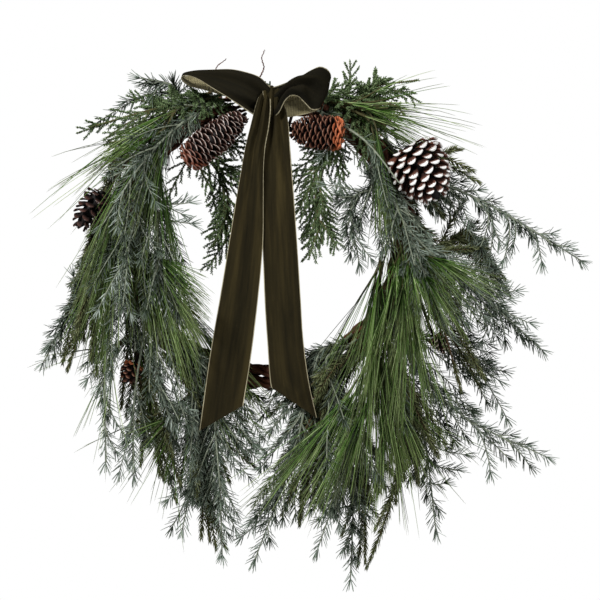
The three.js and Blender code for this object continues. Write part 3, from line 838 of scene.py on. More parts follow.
# ---- Frosted fir ----------------------------------------------------------------------------
# Sprigs with a waxy grey bloom: flat needles 13 to 20 mm long stand close together along pale stems,
# mostly to both sides, and every shoot ends in a small star of needles.
FROSTED_NEEDLE = (13 * MM, 20 * MM)
FROSTED_WIDTH = 1.7 * MM
FROSTED_GAP = 1.9 * MM
FROSTED_PROFILE = [(0, 0.6), (0.25, 1), (0.86, 0.75)]
FROSTED_SECTION = (1, 0.55)
FROSTED_TWIG = (1.3 * MM, 0.7 * MM)
STAR = 7
# How many more side shoots a sprig has than the listed ones. Those that lie in front have fewer, so
# that the green ones behind them show.
FROSTED_SHOOTS = 20
SPARSE = {1: 16, 4: 6, 13: 9, 14: 8, 15: 12, 17: 9, 18: 10, 19: 12}
# The share of the listed shoots, and of the others, that are young and pale.
LISTED_YOUNG = 0.8
OTHERS_YOUNG = 0.1
# Painted light and shade: shoots are coloured darker the nearer they stand to the ring, and lightest from
# this far in front of the ring's middle.
PAINTED_LIGHT_DEPTH = 90 * MM
# A stem stops so many points short of its listed tip, because its last needles reach on to it.
TIP_CUT = 4
# The side shoots that the photograph shows: for each sprig, the share of the stem where one leaves
# it, the pixel of its tip and how far the tip stands in front of the ring's middle, in millimetres.
FROSTED_TIPS = {
    1: [(0.5, 424, 168, 126), (0.3, 338, 205, 50), (0.5, 372, 222, 70), (0.2, 318, 160, 30),
        (0.35, 358, 190, 60), (0.15, 335, 140, 40), (0.28, 372, 158, 60), (0.32, 382, 180, 58),
        (0.36, 364, 172, 50), (0.28, 356, 150, 50), (0.3, 376, 142, 46), (0.34, 374, 196, 62),
        (0.3, 352, 176, 40)],
    2: [(0.6, 514, 210, 30), (0.68, 519, 232, 20), (0.72, 542, 267, 40), (0.5, 478, 252, 45),
        (0.3, 470, 225, 45), (0.45, 500, 246, 35), (0.2, 455, 205, 50), (0.6, 502, 264, 30),
        (0.65, 512, 250, 25), (0.5, 488, 262, 35), (0.1, 438, 212, 30)],
    3: [(0.6, 345, 235, 35), (0.7, 374, 262, 40), (0.5, 335, 192, 30), (0.2, 366, 172, 30),
        (0.3, 350, 205, 30)],
    4: [(0.5, 467, 262, 80), (0.7, 468, 325, 75), (0.6, 401, 272, 70), (0.8, 455, 345, 85),
        (0.35, 451, 226, 80), (0.45, 480, 290, 75), (0.55, 487, 318, 70), (0.3, 430, 235, 75),
        (0.05, 384, 196, 44), (0.1, 392, 208, 50), (0.08, 378, 202, 40), (0.05, 386, 184, 42),
        (0.15, 384, 236, 45), (0.2, 380, 256, 45), (0.12, 391, 226, 50), (0.1, 397, 238, 55),
        (0.12, 430, 220, 60), (0.15, 442, 234, 58), (0.1, 420, 214, 55)],
    5: [(0.5, 513, 300, 30), (0.4, 499, 270, 20), (0.7, 522, 338, 40), (0.6, 480, 345, 40),
        (0.45, 505, 286, 30), (0.6, 534, 325, 35), (0.3, 490, 258, 30), (0.25, 478, 242, 30),
        (0.4, 470, 300, 50), (0.5, 495, 325, 45), (0.65, 506, 345, 40), (0.5, 520, 290, 25),
        (0.35, 496, 262, 25)],
    6: [(0.6, 509, 423, 15), (0.5, 488, 405, 20), (0.75, 508, 372, 10)],
    7: [(0.6, 511, 461, 45), (0.65, 491, 477, 50), (0.45, 468, 440, 40), (0.8, 532, 470, 40)],
    8: [(0.6, 470, 455, 20), (0.7, 462, 470, 15), (0.5, 440, 440, 30), (0.8, 449, 482, 10),
        (0.5, 414, 452, 30), (0.65, 426, 498, 15), (0.7, 452, 470, 5)],
    9: [(0.5, 327, 508, 40), (0.6, 372, 520, 35), (0.75, 342, 552, 40), (0.15, 375, 425, 15),
        (0.25, 378, 452, 15), (0.2, 364, 442, 12)],
    10: [(0.6, 314, 504, 55), (0.7, 340, 528, 60), (0.5, 300, 470, 60)],
    11: [(0.6, 247, 525, 45), (0.45, 281, 475, 50), (0.7, 238, 540, 35), (0.35, 262, 455, 40),
         (0.15, 270, 432, 25), (0.25, 292, 452, 30), (0.1, 286, 412, 15), (0.5, 265, 492, 35),
         (0.45, 292, 492, 35), (0.3, 258, 470, 30), (0.02, 300, 400, 10), (0.05, 284, 390, 5),
         (0.2, 248, 452, 20), (0.3, 284, 470, 15), (0.1, 262, 418, 10), (0.03, 276, 404, 0),
         (0.06, 268, 392, -5), (0.1, 294, 420, 5)],
    12: [(0.5, 122, 103, 15), (0.45, 92, 126, 20), (0.7, 150, 100, 20)],
    13: [(0.5, 104, 180, 90), (0.55, 158, 206, 95), (0.75, 118, 232, 95), (0.35, 140, 158, 95),
         (0.15, 220, 166, 45), (0.2, 205, 190, 50), (0.25, 197, 222, 55), (0.3, 178, 200, 70),
         (0.12, 206, 172, 40), (0.1, 216, 182, 35), (0.08, 198, 160, 35)],
    14: [(0.35, 160, 254, 95), (0.6, 119, 298, 90), (0.7, 132, 318, 80), (0.5, 98, 268, 70)],
    15: [(0.4, 197, 224, 40), (0.6, 147, 300, 60), (0.5, 185, 292, 55), (0.7, 172, 330, 50),
         (0.3, 194, 202, 45), (0.25, 187, 216, 50)],
    16: [(0.45, 80, 265, 30), (0.6, 62, 322, 30), (0.75, 46, 350, 30), (0.5, 72, 272, 30)],
    17: [(0.5, 85, 383, 50), (0.6, 101, 402, 55), (0.7, 128, 440, 60), (0.85, 119, 455, 55)],
    18: [(0.5, 160, 380, 65), (0.65, 178, 432, 60), (0.8, 193, 410, 68), (0.4, 130, 380, 60)],
    19: [(0.6, 118, 477, 48), (0.5, 150, 442, 50), (0.75, 132, 468, 50)],
    20: [(0.4, 216, 455, 50), (0.5, 240, 472, 45), (0.65, 237, 533, 40), (0.5, 205, 500, 40),
         (0.1, 246, 432, 15), (0.2, 256, 448, 30), (0.3, 232, 455, 35), (0.4, 252, 480, 40),
         (0.02, 232, 398, 10), (0.05, 252, 412, 5), (0.1, 262, 438, 10), (0.3, 268, 468, 20),
         (0.03, 260, 398, 0), (0.06, 272, 414, 5), (0.02, 246, 392, 0)],
    21: [(0.7, 170, 531, 30), (0.5, 202, 500, 35), (0.6, 165, 503, 30)],
}

frosted_finish = needle_finish(
    "frosted_fir", [(12, 18, 9), (40, 54, 36), (112, 127, 112), (208, 218, 210)],
    [(84, 88, 68), (150, 158, 142)], (132, 144, 128), (0.3, (188, 198, 190)), 0.55, 0.0003)


def add_frosted(soup, line, rng, shade, start):
    """Needles along one shoot from a share of its length, and the star at its tip."""
    line, along = evenly(line, FROSTED_GAP)
    keep = along >= start * along[-1]
    heading, count = tangents(line)[keep], keep.sum()
    side = np.where(rng.random(count) < 0.5, 0, np.pi)
    turn = side + rng.normal(0, 0.75, count)
    pitch = rng.normal(0.8, 0.15, count)
    direction, out = needle_headings(heading, turn, pitch)
    lengths = rng.uniform(*FROSTED_NEEDLE, count)
    bends = 0.06 * heading - 0.04 * out - 0.04 * UP
    shades = shade + rng.normal(0, 0.18, count)
    add_needles(soup, line[keep], direction, lengths, FROSTED_WIDTH, shades, bends,
                FROSTED_PROFILE, FROSTED_SECTION)
    around = np.linspace(0, 2 * np.pi, STAR, endpoint=False) + rng.uniform(0, 1)
    direction, out = needle_headings(np.repeat(heading[-1:], STAR, 0), around,
                                     rng.uniform(0.15, 0.6, STAR))
    add_needles(soup, np.repeat(line[-1:], STAR, 0), direction, rng.uniform(*FROSTED_NEEDLE, STAR),
                FROSTED_WIDTH, shade + rng.normal(0.06, 0.1, STAR), 0.1 * direction,
                FROSTED_PROFILE, FROSTED_SECTION)


for name, number, rng in sprigs_of("frosted"):
    soup = Soup()
    stem = stem_line(name)[:-TIP_CUT]
    shade = rng.uniform(0.44, 0.7)
    add_stem(soup, stem, STEM_RADIUS, 0.9 * MM, 7, shade)
    add_frosted(soup, stem, rng, shade, 0.1)
    twigs = [twig[:-TIP_CUT] for twig in listed_shoots(stem, FROSTED_TIPS[number])]
    others = SPARSE.get(number, FROSTED_SHOOTS)
    for shoot in range(others):
        at = 0.03 + 0.87 * (shoot + rng.uniform(0, 0.7)) / others
        length = (96 - 46 * at) * MM * rng.uniform(0.75, 1.2)
        twig = grow_shoot(stem, at, rng, length, 0.6, 0.9, 0.12, 1 if shoot % 2 else -1)
        twigs.append(trimmed(twig, -6))
    listed = len(twigs) - others
    for index, twig in enumerate(map(unblocked, twigs)):
        young = rng.random() < (LISTED_YOUNG if index < listed else OTHERS_YOUNG)
        if len(twig) < SHORTEST_TWIG:
            continue
        # Painted light and shade: a shoot's colour is lighter the further in front of the ring it stands.
        forward = np.clip(-(twig[-1][1] - RING_CENTRE[1]) / PAINTED_LIGHT_DEPTH, 0, 1)
        shade_here = 0.04 + 0.26 * forward + 0.4 * young + 0.3 * (shade - 0.5) + rng.normal(0, 0.07)
        add_stem(soup, twig, *FROSTED_TWIG, 5, np.clip(shade_here + 0.1, 0, 1))
        add_frosted(soup, twig, rng, shade_here, 0.06)
    soup.piece(name, [frosted_finish])


# ---- Pine -----------------------------------------------------------------------------------
# Sprays of long-needled pine. The needles are 90 to 200 mm long, three from a sheath, and stand
# close to the way the shoot points, so that a spray is one long brush that hangs down at its end.
PINE_NEEDLE = (90 * MM, 200 * MM)
PINE_WIDTH = 1.05 * MM
PINE_PROFILE = [(0, 0.6), (0.12, 1), (0.4, 1), (0.75, 0.85), (0.93, 0.6)]
PINE_SECTION = (1, 0.8)
PINE_TWIG = (1.6 * MM, 1.0 * MM)
# How far past the greenery's edges a needle may end, in pixels, the share of needles that stray and
# how much further those end.
PINE_SLACK = (-14, 16)
PINE_STRAY = (0.09, 42)
# The share of needles that lie in the shade of others, and how much darker they are.
PINE_SHADED = (0.4, 0.4)
# Where each spray's shoots point, as for the frosted fir, then how bright the spray is and the gap
# between its bundles in millimetres.
PINE_TIPS = {
    1: ([(0.1, 400, 96, 50), (0.12, 388, 108, 70), (0.1, 385, 124, 60), (0.2, 380, 88, 30),
         (0.05, 368, 118, 50), (0.1, 398, 132, 48), (0.15, 408, 116, 40), (0.05, 352, 104, 40),
         (0.75, 390, 196, 64), (0.6, 383, 186, 58), (0.9, 396, 214, 68), (0.5, 376, 176, 52)], 0.6, 4),
    2: ([(0.1, 402, 290, 90), (0.1, 440, 262, 80), (0.2, 388, 300, 70), (0.1, 424, 275, 85),
         (0.3, 414, 320, 85), (0.04, 410, 268, 112), (0.04, 434, 258, 108), (0.04, 394, 264, 104)],
        0.5, 4.6),
    3: ([(0.1, 392, 262, 30), (0.3, 374, 318, 50), (0.45, 376, 350, 60), (0.5, 392, 370, 60),
         (0.2, 378, 300, 40)], 0.42, 6),
    4: ([(0.3, 352, 420, 60), (0.45, 378, 455, 70), (0.5, 398, 470, 60), (0.35, 418, 450, 50),
         (0.5, 442, 430, 40), (0.3, 342, 400, 70), (0.35, 332, 418, 80), (0.4, 346, 440, 82),
         (0.42, 326, 434, 76)], 0.5, 5.5),
    5: ([(0.3, 105, 152, 40), (0.35, 108, 168, 60), (0.4, 118, 190, 70), (0.7, 108, 142, 40),
         (0.75, 112, 154, 50), (0.5, 150, 205, 50), (0.4, 166, 210, 50)], 0.42, 4.5),
    6: ([(0.4, 82, 250, 30), (0.5, 90, 290, 60), (0.55, 108, 300, 60), (0.3, 130, 300, 50),
         (0.4, 148, 290, 40)], 0.4, 5),
    7: ([(0.1, 180, 285, 70), (0.1, 172, 262, 75), (0.1, 190, 285, 60), (0.2, 186, 310, 50),
         (0.2, 200, 318, 35), (0.3, 206, 338, 25)], 0.6, 3.4),
    8: ([(0.4, 84, 350, 40), (0.5, 104, 375, 50), (0.6, 118, 400, 60)], 0.38, 6.5),
    9: ([(0.4, 150, 440, 50), (0.5, 172, 460, 45), (0.6, 165, 420, 50), (0.3, 128, 425, 40)], 0.4, 7),
}

pine_finish = needle_finish(
    "pine", [(8, 15, 5), (30, 50, 14), (82, 122, 44), (176, 196, 136)],
    [(44, 42, 24), (80, 76, 44)], (118, 128, 80), (0.25, (136, 156, 112)), 0.4, 0.0002)


def add_pine(soup, line, rng, shade, gap, start):
    """Needles in bundles along one shoot from a share of its length."""
    line, along = evenly(line, gap * MM)
    keep = np.repeat(np.flatnonzero(along >= start * along[-1]), 3)
    count = len(keep)
    heading = tangents(line)[keep]
    turn = np.repeat(rng.uniform(0, 2 * np.pi, count // 3), 3) + rng.normal(0, 0.35, count)
    pitch = np.repeat(np.abs(rng.normal(0.07, 0.1, count // 3)), 3) + rng.normal(0, 0.03, count)
    direction, out = needle_headings(heading, turn, pitch)
    lengths = rng.uniform(*PINE_NEEDLE, count)
    droop = rng.uniform(0.02, 0.13, count)
    slack = rng.uniform(*PINE_SLACK, count) + PINE_STRAY[1] * (rng.random(count) < PINE_STRAY[0])
    bends = 0.03 * out - droop[:, None] * UP + rng.normal(0, 0.012, (count, 3))
    for _ in range(5):
        tips = line[keep] + lengths[:, None] * (direction + bends)
        far = np.array([not in_outline(tip, room) for tip, room in zip(tips, slack)])
        lengths = np.where(far, lengths * 0.86, lengths)
    long = (lengths > 0.75 * PINE_NEEDLE[0]) & ~far
    shaded = rng.random(count) < PINE_SHADED[0]
    shades = shade + 0.1 + rng.normal(0, 0.24, count) - PINE_SHADED[1] * shaded
    add_needles(soup, line[keep][long], direction[long], lengths[long], PINE_WIDTH, shades[long],
                bends[long], PINE_PROFILE, PINE_SECTION)


for name, number, rng in sprigs_of("pine"):
    soup = Soup()
    stem = stem_line(name)
    tips, shade, gap = PINE_TIPS[number]
    add_stem(soup, stem, STEM_RADIUS * 1.15, 1.2 * MM, 7, shade)
    add_pine(soup, stem, rng, shade, gap, 0.03)
    for twig in map(unblocked, listed_shoots(stem, tips)):
        if len(twig) < SHORTEST_TWIG:
            continue
        add_stem(soup, twig, *PINE_TWIG, 5, shade)
        add_pine(soup, twig, rng, shade + rng.normal(0, 0.08), gap, 0.05)
    soup.piece(name, [pine_finish])


# ---- Spruce ---------------------------------------------------------------------------------
# Hanging tails like rope: short stiff needles sit densely all round a woody stem and point along
# it in chevrons, olive green on top and browner inside.
SPRUCE_NEEDLE = (11 * MM, 15 * MM)
SPRUCE_WIDTH = 1.6 * MM
SPRUCE_GAP = 0.8 * MM
SPRUCE_PROFILE = [(0, 0.7), (0.5, 1)]
SPRUCE_TWIG = (1.4 * MM, 0.7 * MM)
SPRUCE_LEAD = 0.3
SPRUCE_SHOOTS = 17
# The side shoots that the photograph shows, as for the frosted fir.
SPRUCE_TIPS = {
    1: [(0.3, 459, 145, 10), (0.5, 484, 186, 10), (0.6, 478, 174, 15), (0.2, 442, 196, 10),
        (0.3, 456, 208, 15), (0.15, 430, 210, 5), (0.4, 468, 202, 10)],
    2: [(0.4, 488, 270, 10), (0.5, 512, 300, 10), (0.35, 478, 250, 15), (0.6, 500, 292, 20),
        (0.5, 496, 320, 5), (0.2, 455, 270, 10), (0.3, 466, 290, 10), (0.05, 440, 236, 0),
        (0.1, 456, 242, 5)],
    3: [(0.3, 437, 320, 60), (0.5, 448, 352, 60), (0.7, 462, 400, 50), (0.6, 433, 400, 60)],
    4: [(0.5, 419, 489, 50), (0.4, 395, 508, 45), (0.6, 373, 534, 45), (0.5, 365, 572, 40),
        (0.3, 384, 432, 20), (0.4, 390, 462, 20)],
    5: [(0.6, 357, 571, 15), (0.5, 340, 540, 10), (0.7, 380, 520, 10)],
    6: [(0.6, 299, 530, 30), (0.5, 306, 500, 35), (0.4, 330, 480, 30), (0.1, 288, 425, 5),
        (0.2, 276, 446, 5), (0.3, 300, 462, 10), (0.15, 264, 420, 0), (0.02, 292, 402, 0),
        (0.05, 270, 398, -5), (0.2, 285, 464, 5), (0.3, 272, 472, 5)],
    7: [(0.4, 72, 300, 10), (0.6, 62, 368, 10), (0.5, 62, 330, 15), (0.3, 82, 262, 15)],
    8: [(0.4, 60, 366, 40), (0.5, 72, 345, 50), (0.3, 92, 260, 50)],
    9: [(0.5, 178, 507, 10), (0.6, 160, 480, 15), (0.4, 140, 470, 10)],
    10: [(0.6, 201, 543, 10), (0.5, 217, 554, 5), (0.7, 228, 553, 15), (0.4, 190, 490, 10),
         (0.1, 248, 424, 0), (0.15, 238, 446, 5), (0.2, 252, 462, 0), (0.02, 238, 404, 0),
         (0.02, 254, 396, -5), (0.3, 262, 472, 5), (0.2, 268, 454, 0)],
}

spruce_finish = needle_finish(
    "spruce", [(18, 20, 9), (54, 60, 32), (102, 109, 70), (156, 162, 122)],
    [(58, 44, 30), (92, 74, 50)], (122, 128, 88), (0.25, (150, 156, 130)), 0.55, 0.0002)


def add_spruce(soup, line, rng, shade, start=0.0):
    """A dense coat of needles along one shoot, shorter towards its pointed tip."""
    line, along = evenly(line, SPRUCE_GAP)
    keep = along >= start * along[-1]
    count = keep.sum()
    heading = tangents(line)[keep]
    turn = GOLDEN * np.arange(count) + rng.normal(0, 0.25, count)
    share = along[keep] / along[-1]
    pitch = np.clip(rng.normal(0.82, 0.12, count) * (1 - 0.5 * share ** 6), 0.15, 1.2)
    direction, out = needle_headings(heading, turn, pitch)
    lengths = rng.uniform(*SPRUCE_NEEDLE, count) * (1 - 0.45 * share ** 5)
    bends = 0.16 * heading - 0.06 * out
    shades = shade + rng.normal(0, 0.2, count)
    add_needles(soup, line[keep], direction, lengths, SPRUCE_WIDTH, shades, bends, SPRUCE_PROFILE)


for name, number, rng in sprigs_of("spruce"):
    soup = Soup()
    stem = stem_line(name)[:-TIP_CUT]
    shade = rng.uniform(0.46, 0.64)
    add_stem(soup, stem, STEM_RADIUS, 1.0 * MM, 7, shade)
    add_spruce(soup, stem, rng, shade, 0.1)
    twigs = [twig[:-TIP_CUT] for twig in listed_shoots(stem, SPRUCE_TIPS[number], SPRUCE_LEAD)]
    for shoot in range(SPRUCE_SHOOTS):
        at = 0.02 + 0.72 * shoot / SPRUCE_SHOOTS
        twig = grow_shoot(stem, at, rng, rng.uniform(60, 100) * MM, 0.5, 0.9, 0.2,
                          1 if shoot % 2 else -1)
        twigs.append(trimmed(twig, -6))
    for twig in map(unblocked, twigs):
        if len(twig) < SHORTEST_TWIG:
            continue
        shade_here = shade + rng.normal(0, 0.06)
        add_stem(soup, twig, *SPRUCE_TWIG, 5, np.clip(shade_here, 0, 1))
        add_spruce(soup, twig, rng, shade_here)
    soup.piece(name, [spruce_finish])


# ---- Cedar ----------------------------------------------------------------------------------
# Small branching sprays with no needles: twigs fork again and again to either side in one plane,
# and the last ones are knobby cords of tiny overlapping scale leaves.
CEDAR_LEAF = 4.4 * MM
CEDAR_WIDTH = 1.7 * MM
CEDAR_GAP = 1.5 * MM
CEDAR_PROFILE = [(0, 0.8), (0.6, 1)]
CEDAR_TWIG = (1.1 * MM, 0.6 * MM)
CEDAR_BRANCHES = 13
CEDAR_TWIGS = 9
# The two sprigs at the greenery's outer edge, whose branches end at it.
TRIMMED_CEDAR = (1, 3)
# The branches that the photograph shows, as for the frosted fir.
CEDAR_TIPS = {
    1: [(0.2, 350, 62, 15), (0.3, 372, 112, 40), (0.4, 400, 120, 35), (0.3, 385, 132, 30),
        (0.15, 350, 120, 40), (0.5, 420, 102, 25), (0.05, 330, 100, 30), (0.05, 335, 118, 35),
        (0.2, 360, 130, 45), (0.25, 374, 124, 50), (0.3, 390, 112, 45), (0.35, 405, 108, 35),
        (0.2, 352, 108, 45), (0.1, 342, 104, 45), (0.3, 380, 140, 40), (0.4, 412, 92, 25),
        (0.1, 378, 148, 44), (0.12, 370, 154, 44), (0.08, 374, 162, 42), (0.15, 386, 140, 46),
        (0.1, 362, 144, 42), (0.14, 381, 174, 40), (0.06, 367, 168, 40), (0.12, 384, 160, 46),
        (0.05, 338, 84, 15), (0.1, 350, 92, 20), (0.1, 354, 80, 15), (0.2, 376, 84, 15),
        (0.3, 394, 88, 20)],
    2: [(0.02, 300, 130, 15), (0.05, 345, 165, 25), (0.1, 340, 140, 30), (0.15, 302, 150, 25),
        (0.2, 330, 165, 30), (0.3, 303, 185, 25), (0.5, 300, 222, 20), (0.6, 333, 235, 25),
        (0.7, 316, 246, 20), (0.1, 322, 172, 20), (0.12, 344, 180, 25), (0.08, 312, 162, 15)],
    3: [(0.6, 78, 133, 20), (0.4, 104, 140, 35), (0.2, 168, 92, 20), (0.25, 150, 132, 45),
        (0.1, 205, 108, 30), (0.3, 128, 96, 20), (0.05, 232, 110, 28), (0.08, 192, 100, 34),
        (0.12, 188, 120, 30), (0.1, 178, 108, 40), (0.02, 222, 100, 34), (0.03, 208, 116, 30),
        (0.15, 160, 112, 40), (0.06, 198, 96, 36)],
    4: [(0.02, 242, 128, 18), (0.05, 256, 160, 10), (0.05, 196, 150, 25), (0.1, 222, 160, 30),
        (0.15, 250, 175, 15), (0.1, 238, 150, 25), (0.15, 250, 140, 20), (0.2, 212, 190, 25),
        (0.3, 245, 186, 20), (0.6, 213, 245, 20), (0.7, 238, 250, 15), (0.05, 204, 166, 20),
        (0.4, 224, 216, 15)],
}

cedar_finish = needle_finish(
    "cedar", [(16, 24, 12), (46, 62, 36), (88, 108, 70), (140, 158, 120)],
    [(66, 50, 30), (104, 86, 52)], (110, 130, 78), (0.25, (140, 158, 120)), 0.5, 0.0002)


def add_cedar(soup, line, rng, shade):
    """Scale leaves in a cord along one twig."""
    line = np.repeat(evenly(line, CEDAR_GAP)[0], 2, 0)
    count = len(line)
    heading = np.repeat(tangents(line[::2]), 2, 0)
    turn = np.pi * np.arange(count) + 0.5 * np.pi * (np.arange(count) // 2) + rng.normal(0, 0.3, count)
    direction, out = needle_headings(heading, turn, np.clip(rng.normal(0.72, 0.14, count), 0.2, 1.1))
    shades = shade + rng.normal(0, 0.2, count)
    lengths = CEDAR_LEAF * rng.uniform(0.7, 1.25, count)
    add_needles(soup, line, direction, lengths, CEDAR_WIDTH, shades, -0.2 * out, CEDAR_PROFILE)


for name, number, rng in sprigs_of("cedar"):
    soup = Soup()
    stem = stem_line(name)
    shade = rng.uniform(0.45, 0.6)
    add_stem(soup, stem, STEM_RADIUS, 0.9 * MM, 6, shade)
    add_cedar(soup, stem[len(stem) // 3:], rng, shade)
    limbs = listed_shoots(stem, CEDAR_TIPS[number])
    for branch in range(CEDAR_BRANCHES):
        at = 0.22 + 0.74 * branch / CEDAR_BRANCHES
        length = (90 - 62 * at) * MM * rng.uniform(0.8, 1.2)
        limb = grow_shoot(stem, at, rng, length, 0.62, 0.5, 0.1, 1 if branch % 2 else -1)
        limbs.append(trimmed(limb, 4) if number in TRIMMED_CEDAR else limb)
    for limb in map(unblocked, limbs):
        if len(limb) < SHORTEST_TWIG:
            continue
        shade_here = shade + rng.normal(0, 0.08)
        add_stem(soup, limb, *CEDAR_TWIG, 5, np.clip(shade_here, 0, 1))
        add_cedar(soup, limb, rng, shade_here)
        for twig in range(CEDAR_TWIGS):
            from_base = 0.12 + 0.82 * twig / CEDAR_TWIGS
            length = (22 - 12 * from_base) * MM * rng.uniform(0.7, 1.3)
            small = grow_shoot(limb, from_base, rng, length, 0.7, 0.3, 0.02, 1 if twig % 2 else -1)
            add_cedar(soup, small, rng, shade_here + 0.08)
    soup.piece(name, [cedar_finish])


# ---- Ribbon ---------------------------------------------------------------------------------
# One length of 63 mm velvet ribbon, tied in a bow of two loops and two long tails. Its face is dark
# olive velvet, its reverse a plain cream weave, and a narrow beige selvage runs along both edges.
RIBBON_THICK = 0.9 * MM
SELVAGE = 0.02
VELVET, REVERSE, EDGE = 0, 1, 2
RIBBON_COLUMNS = 45
# Each run of the ribbon has rows with the pixels and the depths in millimetres of its two edges, and
# for each row the depth of its lengthwise folds, how many there are and their phase. The left tail
# hangs in front of the right one, and its fold over the knot is its top.
LEFT_TAIL = [
    (261, 99, 46, 272, 97, 42), (259, 97, 60, 270.5, 98, 58), (255.5, 107, 62, 270.5, 110, 63),
    (250.6, 126, 60, 268.6, 128, 62), (245.5, 147, 58, 265.4, 146, 60), (241.4, 170, 57, 263.6, 168, 59),
    (236.8, 196, 56, 263.4, 200, 58), (229.5, 240, 55, 263, 243, 57), (219.5, 300, 53, 258, 300, 54),
    (210, 355, 51, 251, 357, 52), (199.3, 431, 48, 243.3, 405.5, 49)]
LEFT_TAIL_FOLDS = [
    (2, 2.2, 0.1), (3, 2.2, 0.1), (3.6, 2.2, 0.1), (3.6, 2.1, 0.1), (3, 2, 0.12), (2.2, 1.8, 0.15),
    (1.6, 1.6, 0.2), (1.1, 1.4, 0.25), (0.8, 1.2, 0.3), (0.6, 1.0, 0.35), (0.5, 1.0, 0.4)]
RIGHT_TAIL = [
    (266, 98, 44, 280, 98, 40), (266, 106, 54, 286, 111, 50), (264.5, 125, 56, 288.4, 125, 52),
    (263, 146, 55, 289.8, 142, 53), (262, 170, 54, 291.6, 166, 53), (261.5, 200, 53, 294.2, 200, 53),
    (262.5, 240, 53, 297, 240, 53), (264.6, 300, 52, 300.8, 300, 52), (267, 338, 50, 303.4, 340, 51),
    (271.4, 387.5, 47, 309, 382, 49), (272.4, 388.5, 47, 317, 418, 48)]
RIGHT_TAIL_FOLDS = [
    (2, 2.2, 0.5), (3.4, 2.2, 0.5), (3.4, 2.1, 0.5), (2.8, 2, 0.5), (2.2, 1.8, 0.5), (1.6, 1.6, 0.5),
    (1.2, 1.5, 0.5), (0.8, 1.3, 0.5), (0.6, 1.0, 0.5), (0.5, 1.0, 0.5), (0.5, 1.0, 0.5)]
# The left loop goes out in front, turns over at its tip and comes back behind, its inside showing
# as a cream sliver below.
LEFT_LOOP = [
    (274, 92, 42, 262, 121, 46), (268.5, 86, 50, 253, 114.5, 55), (260, 77.5, 56, 241, 106.5, 61),
    (249, 73, 60, 227, 97, 65), (232, 69.4, 62, 211, 87.3, 68), (213, 69.7, 62, 197.5, 79, 68),
    (195, 70.6, 60, 186, 75.4, 66), (184, 73, 54, 181.3, 77.3, 60), (182.6, 75.4, 46, 183, 81.6, 52),
    (188, 76, 38, 191, 86.5, 42), (204, 76, 34, 206, 90.5, 36), (236, 78, 32, 236, 100, 32),
    (272, 86, 34, 268, 114, 34)]
LEFT_LOOP_FOLDS = [
    (2.4, 2, 0.2), (4.4, 2.2, 0.2), (4.2, 1.9, 0.25), (3, 1.6, 0.3), (2.2, 1.3, 0.3), (1.4, 1, 0.35),
    (0.8, 0.6, 0.4), (0.4, 0.5, 0.4), (0.3, 0.5, 0.4), (0.5, 0.6, 0.4), (0.8, 1, 0.4), (1, 1.5, 0.3),
    (2, 2, 0.2)]
# The right loop stands up. Its lower edge arches, and its cream inside shows under the arch.
RIGHT_LOOP = [
    (270, 88, 44, 272, 119, 46), (280, 85, 52, 279.4, 112, 60), (291, 80.5, 58, 285.4, 100.4, 67),
    (303, 75, 62, 291.4, 95.4, 70), (312, 69.6, 64, 298, 96.4, 68), (320, 66.6, 62, 304.6, 103, 64),
    (327, 69, 56, 311.4, 109.6, 58), (330.8, 75, 48, 318.6, 109, 50), (329.8, 80, 42, 321, 106, 40),
    (322, 80, 36, 318, 110, 40), (305, 81, 33, 306, 114, 42), (288, 88, 32, 290, 117, 42),
    (272, 93, 34, 276, 117, 38)]
RIGHT_LOOP_FOLDS = [
    (2.4, 2, 0.2), (4.6, 2, 0.3), (5.4, 1.9, 0.4), (5.4, 1.9, 0.5), (4.8, 1.8, 0.5), (4, 1.6, 0.5),
    (2.8, 1.4, 0.5), (1.8, 1, 0.5), (1, 1, 0.5), (0.8, 1, 0.4), (0.8, 1.2, 0.3), (1.2, 1.5, 0.3),
    (2, 2, 0.2)]
# The knot is the ribbon's one turn round the middle of the bow, gathered, and the wire holds it.
KNOT = [
    (262, 93, 26, 281, 91, 26), (262, 88, 34, 281, 86.5, 34), (263, 88, 46, 280, 88, 46),
    (263, 93, 56, 279, 94, 54), (264, 101, 59, 278, 103, 57), (264, 110, 56, 277.5, 112, 54),
    (264, 117, 46, 278, 118, 44), (264, 118, 34, 278, 118, 34), (263, 112, 26, 278, 112, 26)]
KNOT_FOLDS = [(1.8, 2.5, 0.2)] * len(KNOT)

velvet, start, shader = new_finish(
    "olive_velvet", Specular_IOR_Level=0.04, Sheen_Weight=0.05, Sheen_Roughness=0.4,
    Sheen_Tint=srgb(150, 132, 80))
place, along, across = on_map(start)
pile = place.stretched(620, 260, 1).noise(1.0, 2)
nap = place.stretched(5, 2.6, 1).noise(1.0, 3, 0.55)
crush = place.stretched(26, 7, 1).noise(1.0, 3)
# Painted shade: the bow's two loops are darkened towards near black, as if they lay in shade.
bow_loop_shade = along.step(0.6, 0.64)
lint = place.stretched(900, 330, 1).noise(1.0, 1).step(0.74, 0.8)
colour = (nap * 0.6 + crush * 0.4).ramp(
    (0.3, srgb(18, 17, 11)), (0.5, srgb(39, 34, 20)), (0.7, srgb(60, 52, 30)))
colour = (bow_loop_shade * 0.75).blend(colour, srgb(17, 17, 14))
colour = (pile.step(0.6, 0.8) * 0.2).blend(colour, srgb(62, 56, 38))
colour = (lint * 0.45).blend(colour, srgb(120, 114, 92))
feed(shader, colour, 0.85 + 0.15 * pile, pile + 0.4 * crush, 0.0004)

reverse, start, shader = new_finish("ribbon_reverse", Specular_IOR_Level=0.3, Sheen_Weight=0.1)
place, along, across = on_map(start)
weave = (along * 1500).math("SINE", along * 1500) * (across * 520).math("SINE", across * 520)
colour = (place.stretched(14, 30, 1).noise(1.0, 3)).ramp(
    (0.3, srgb(128, 118, 84)), (0.7, srgb(176, 166, 126)))
feed(shader, colour, 0.75 + 0.1 * weave, weave, 0.0002)

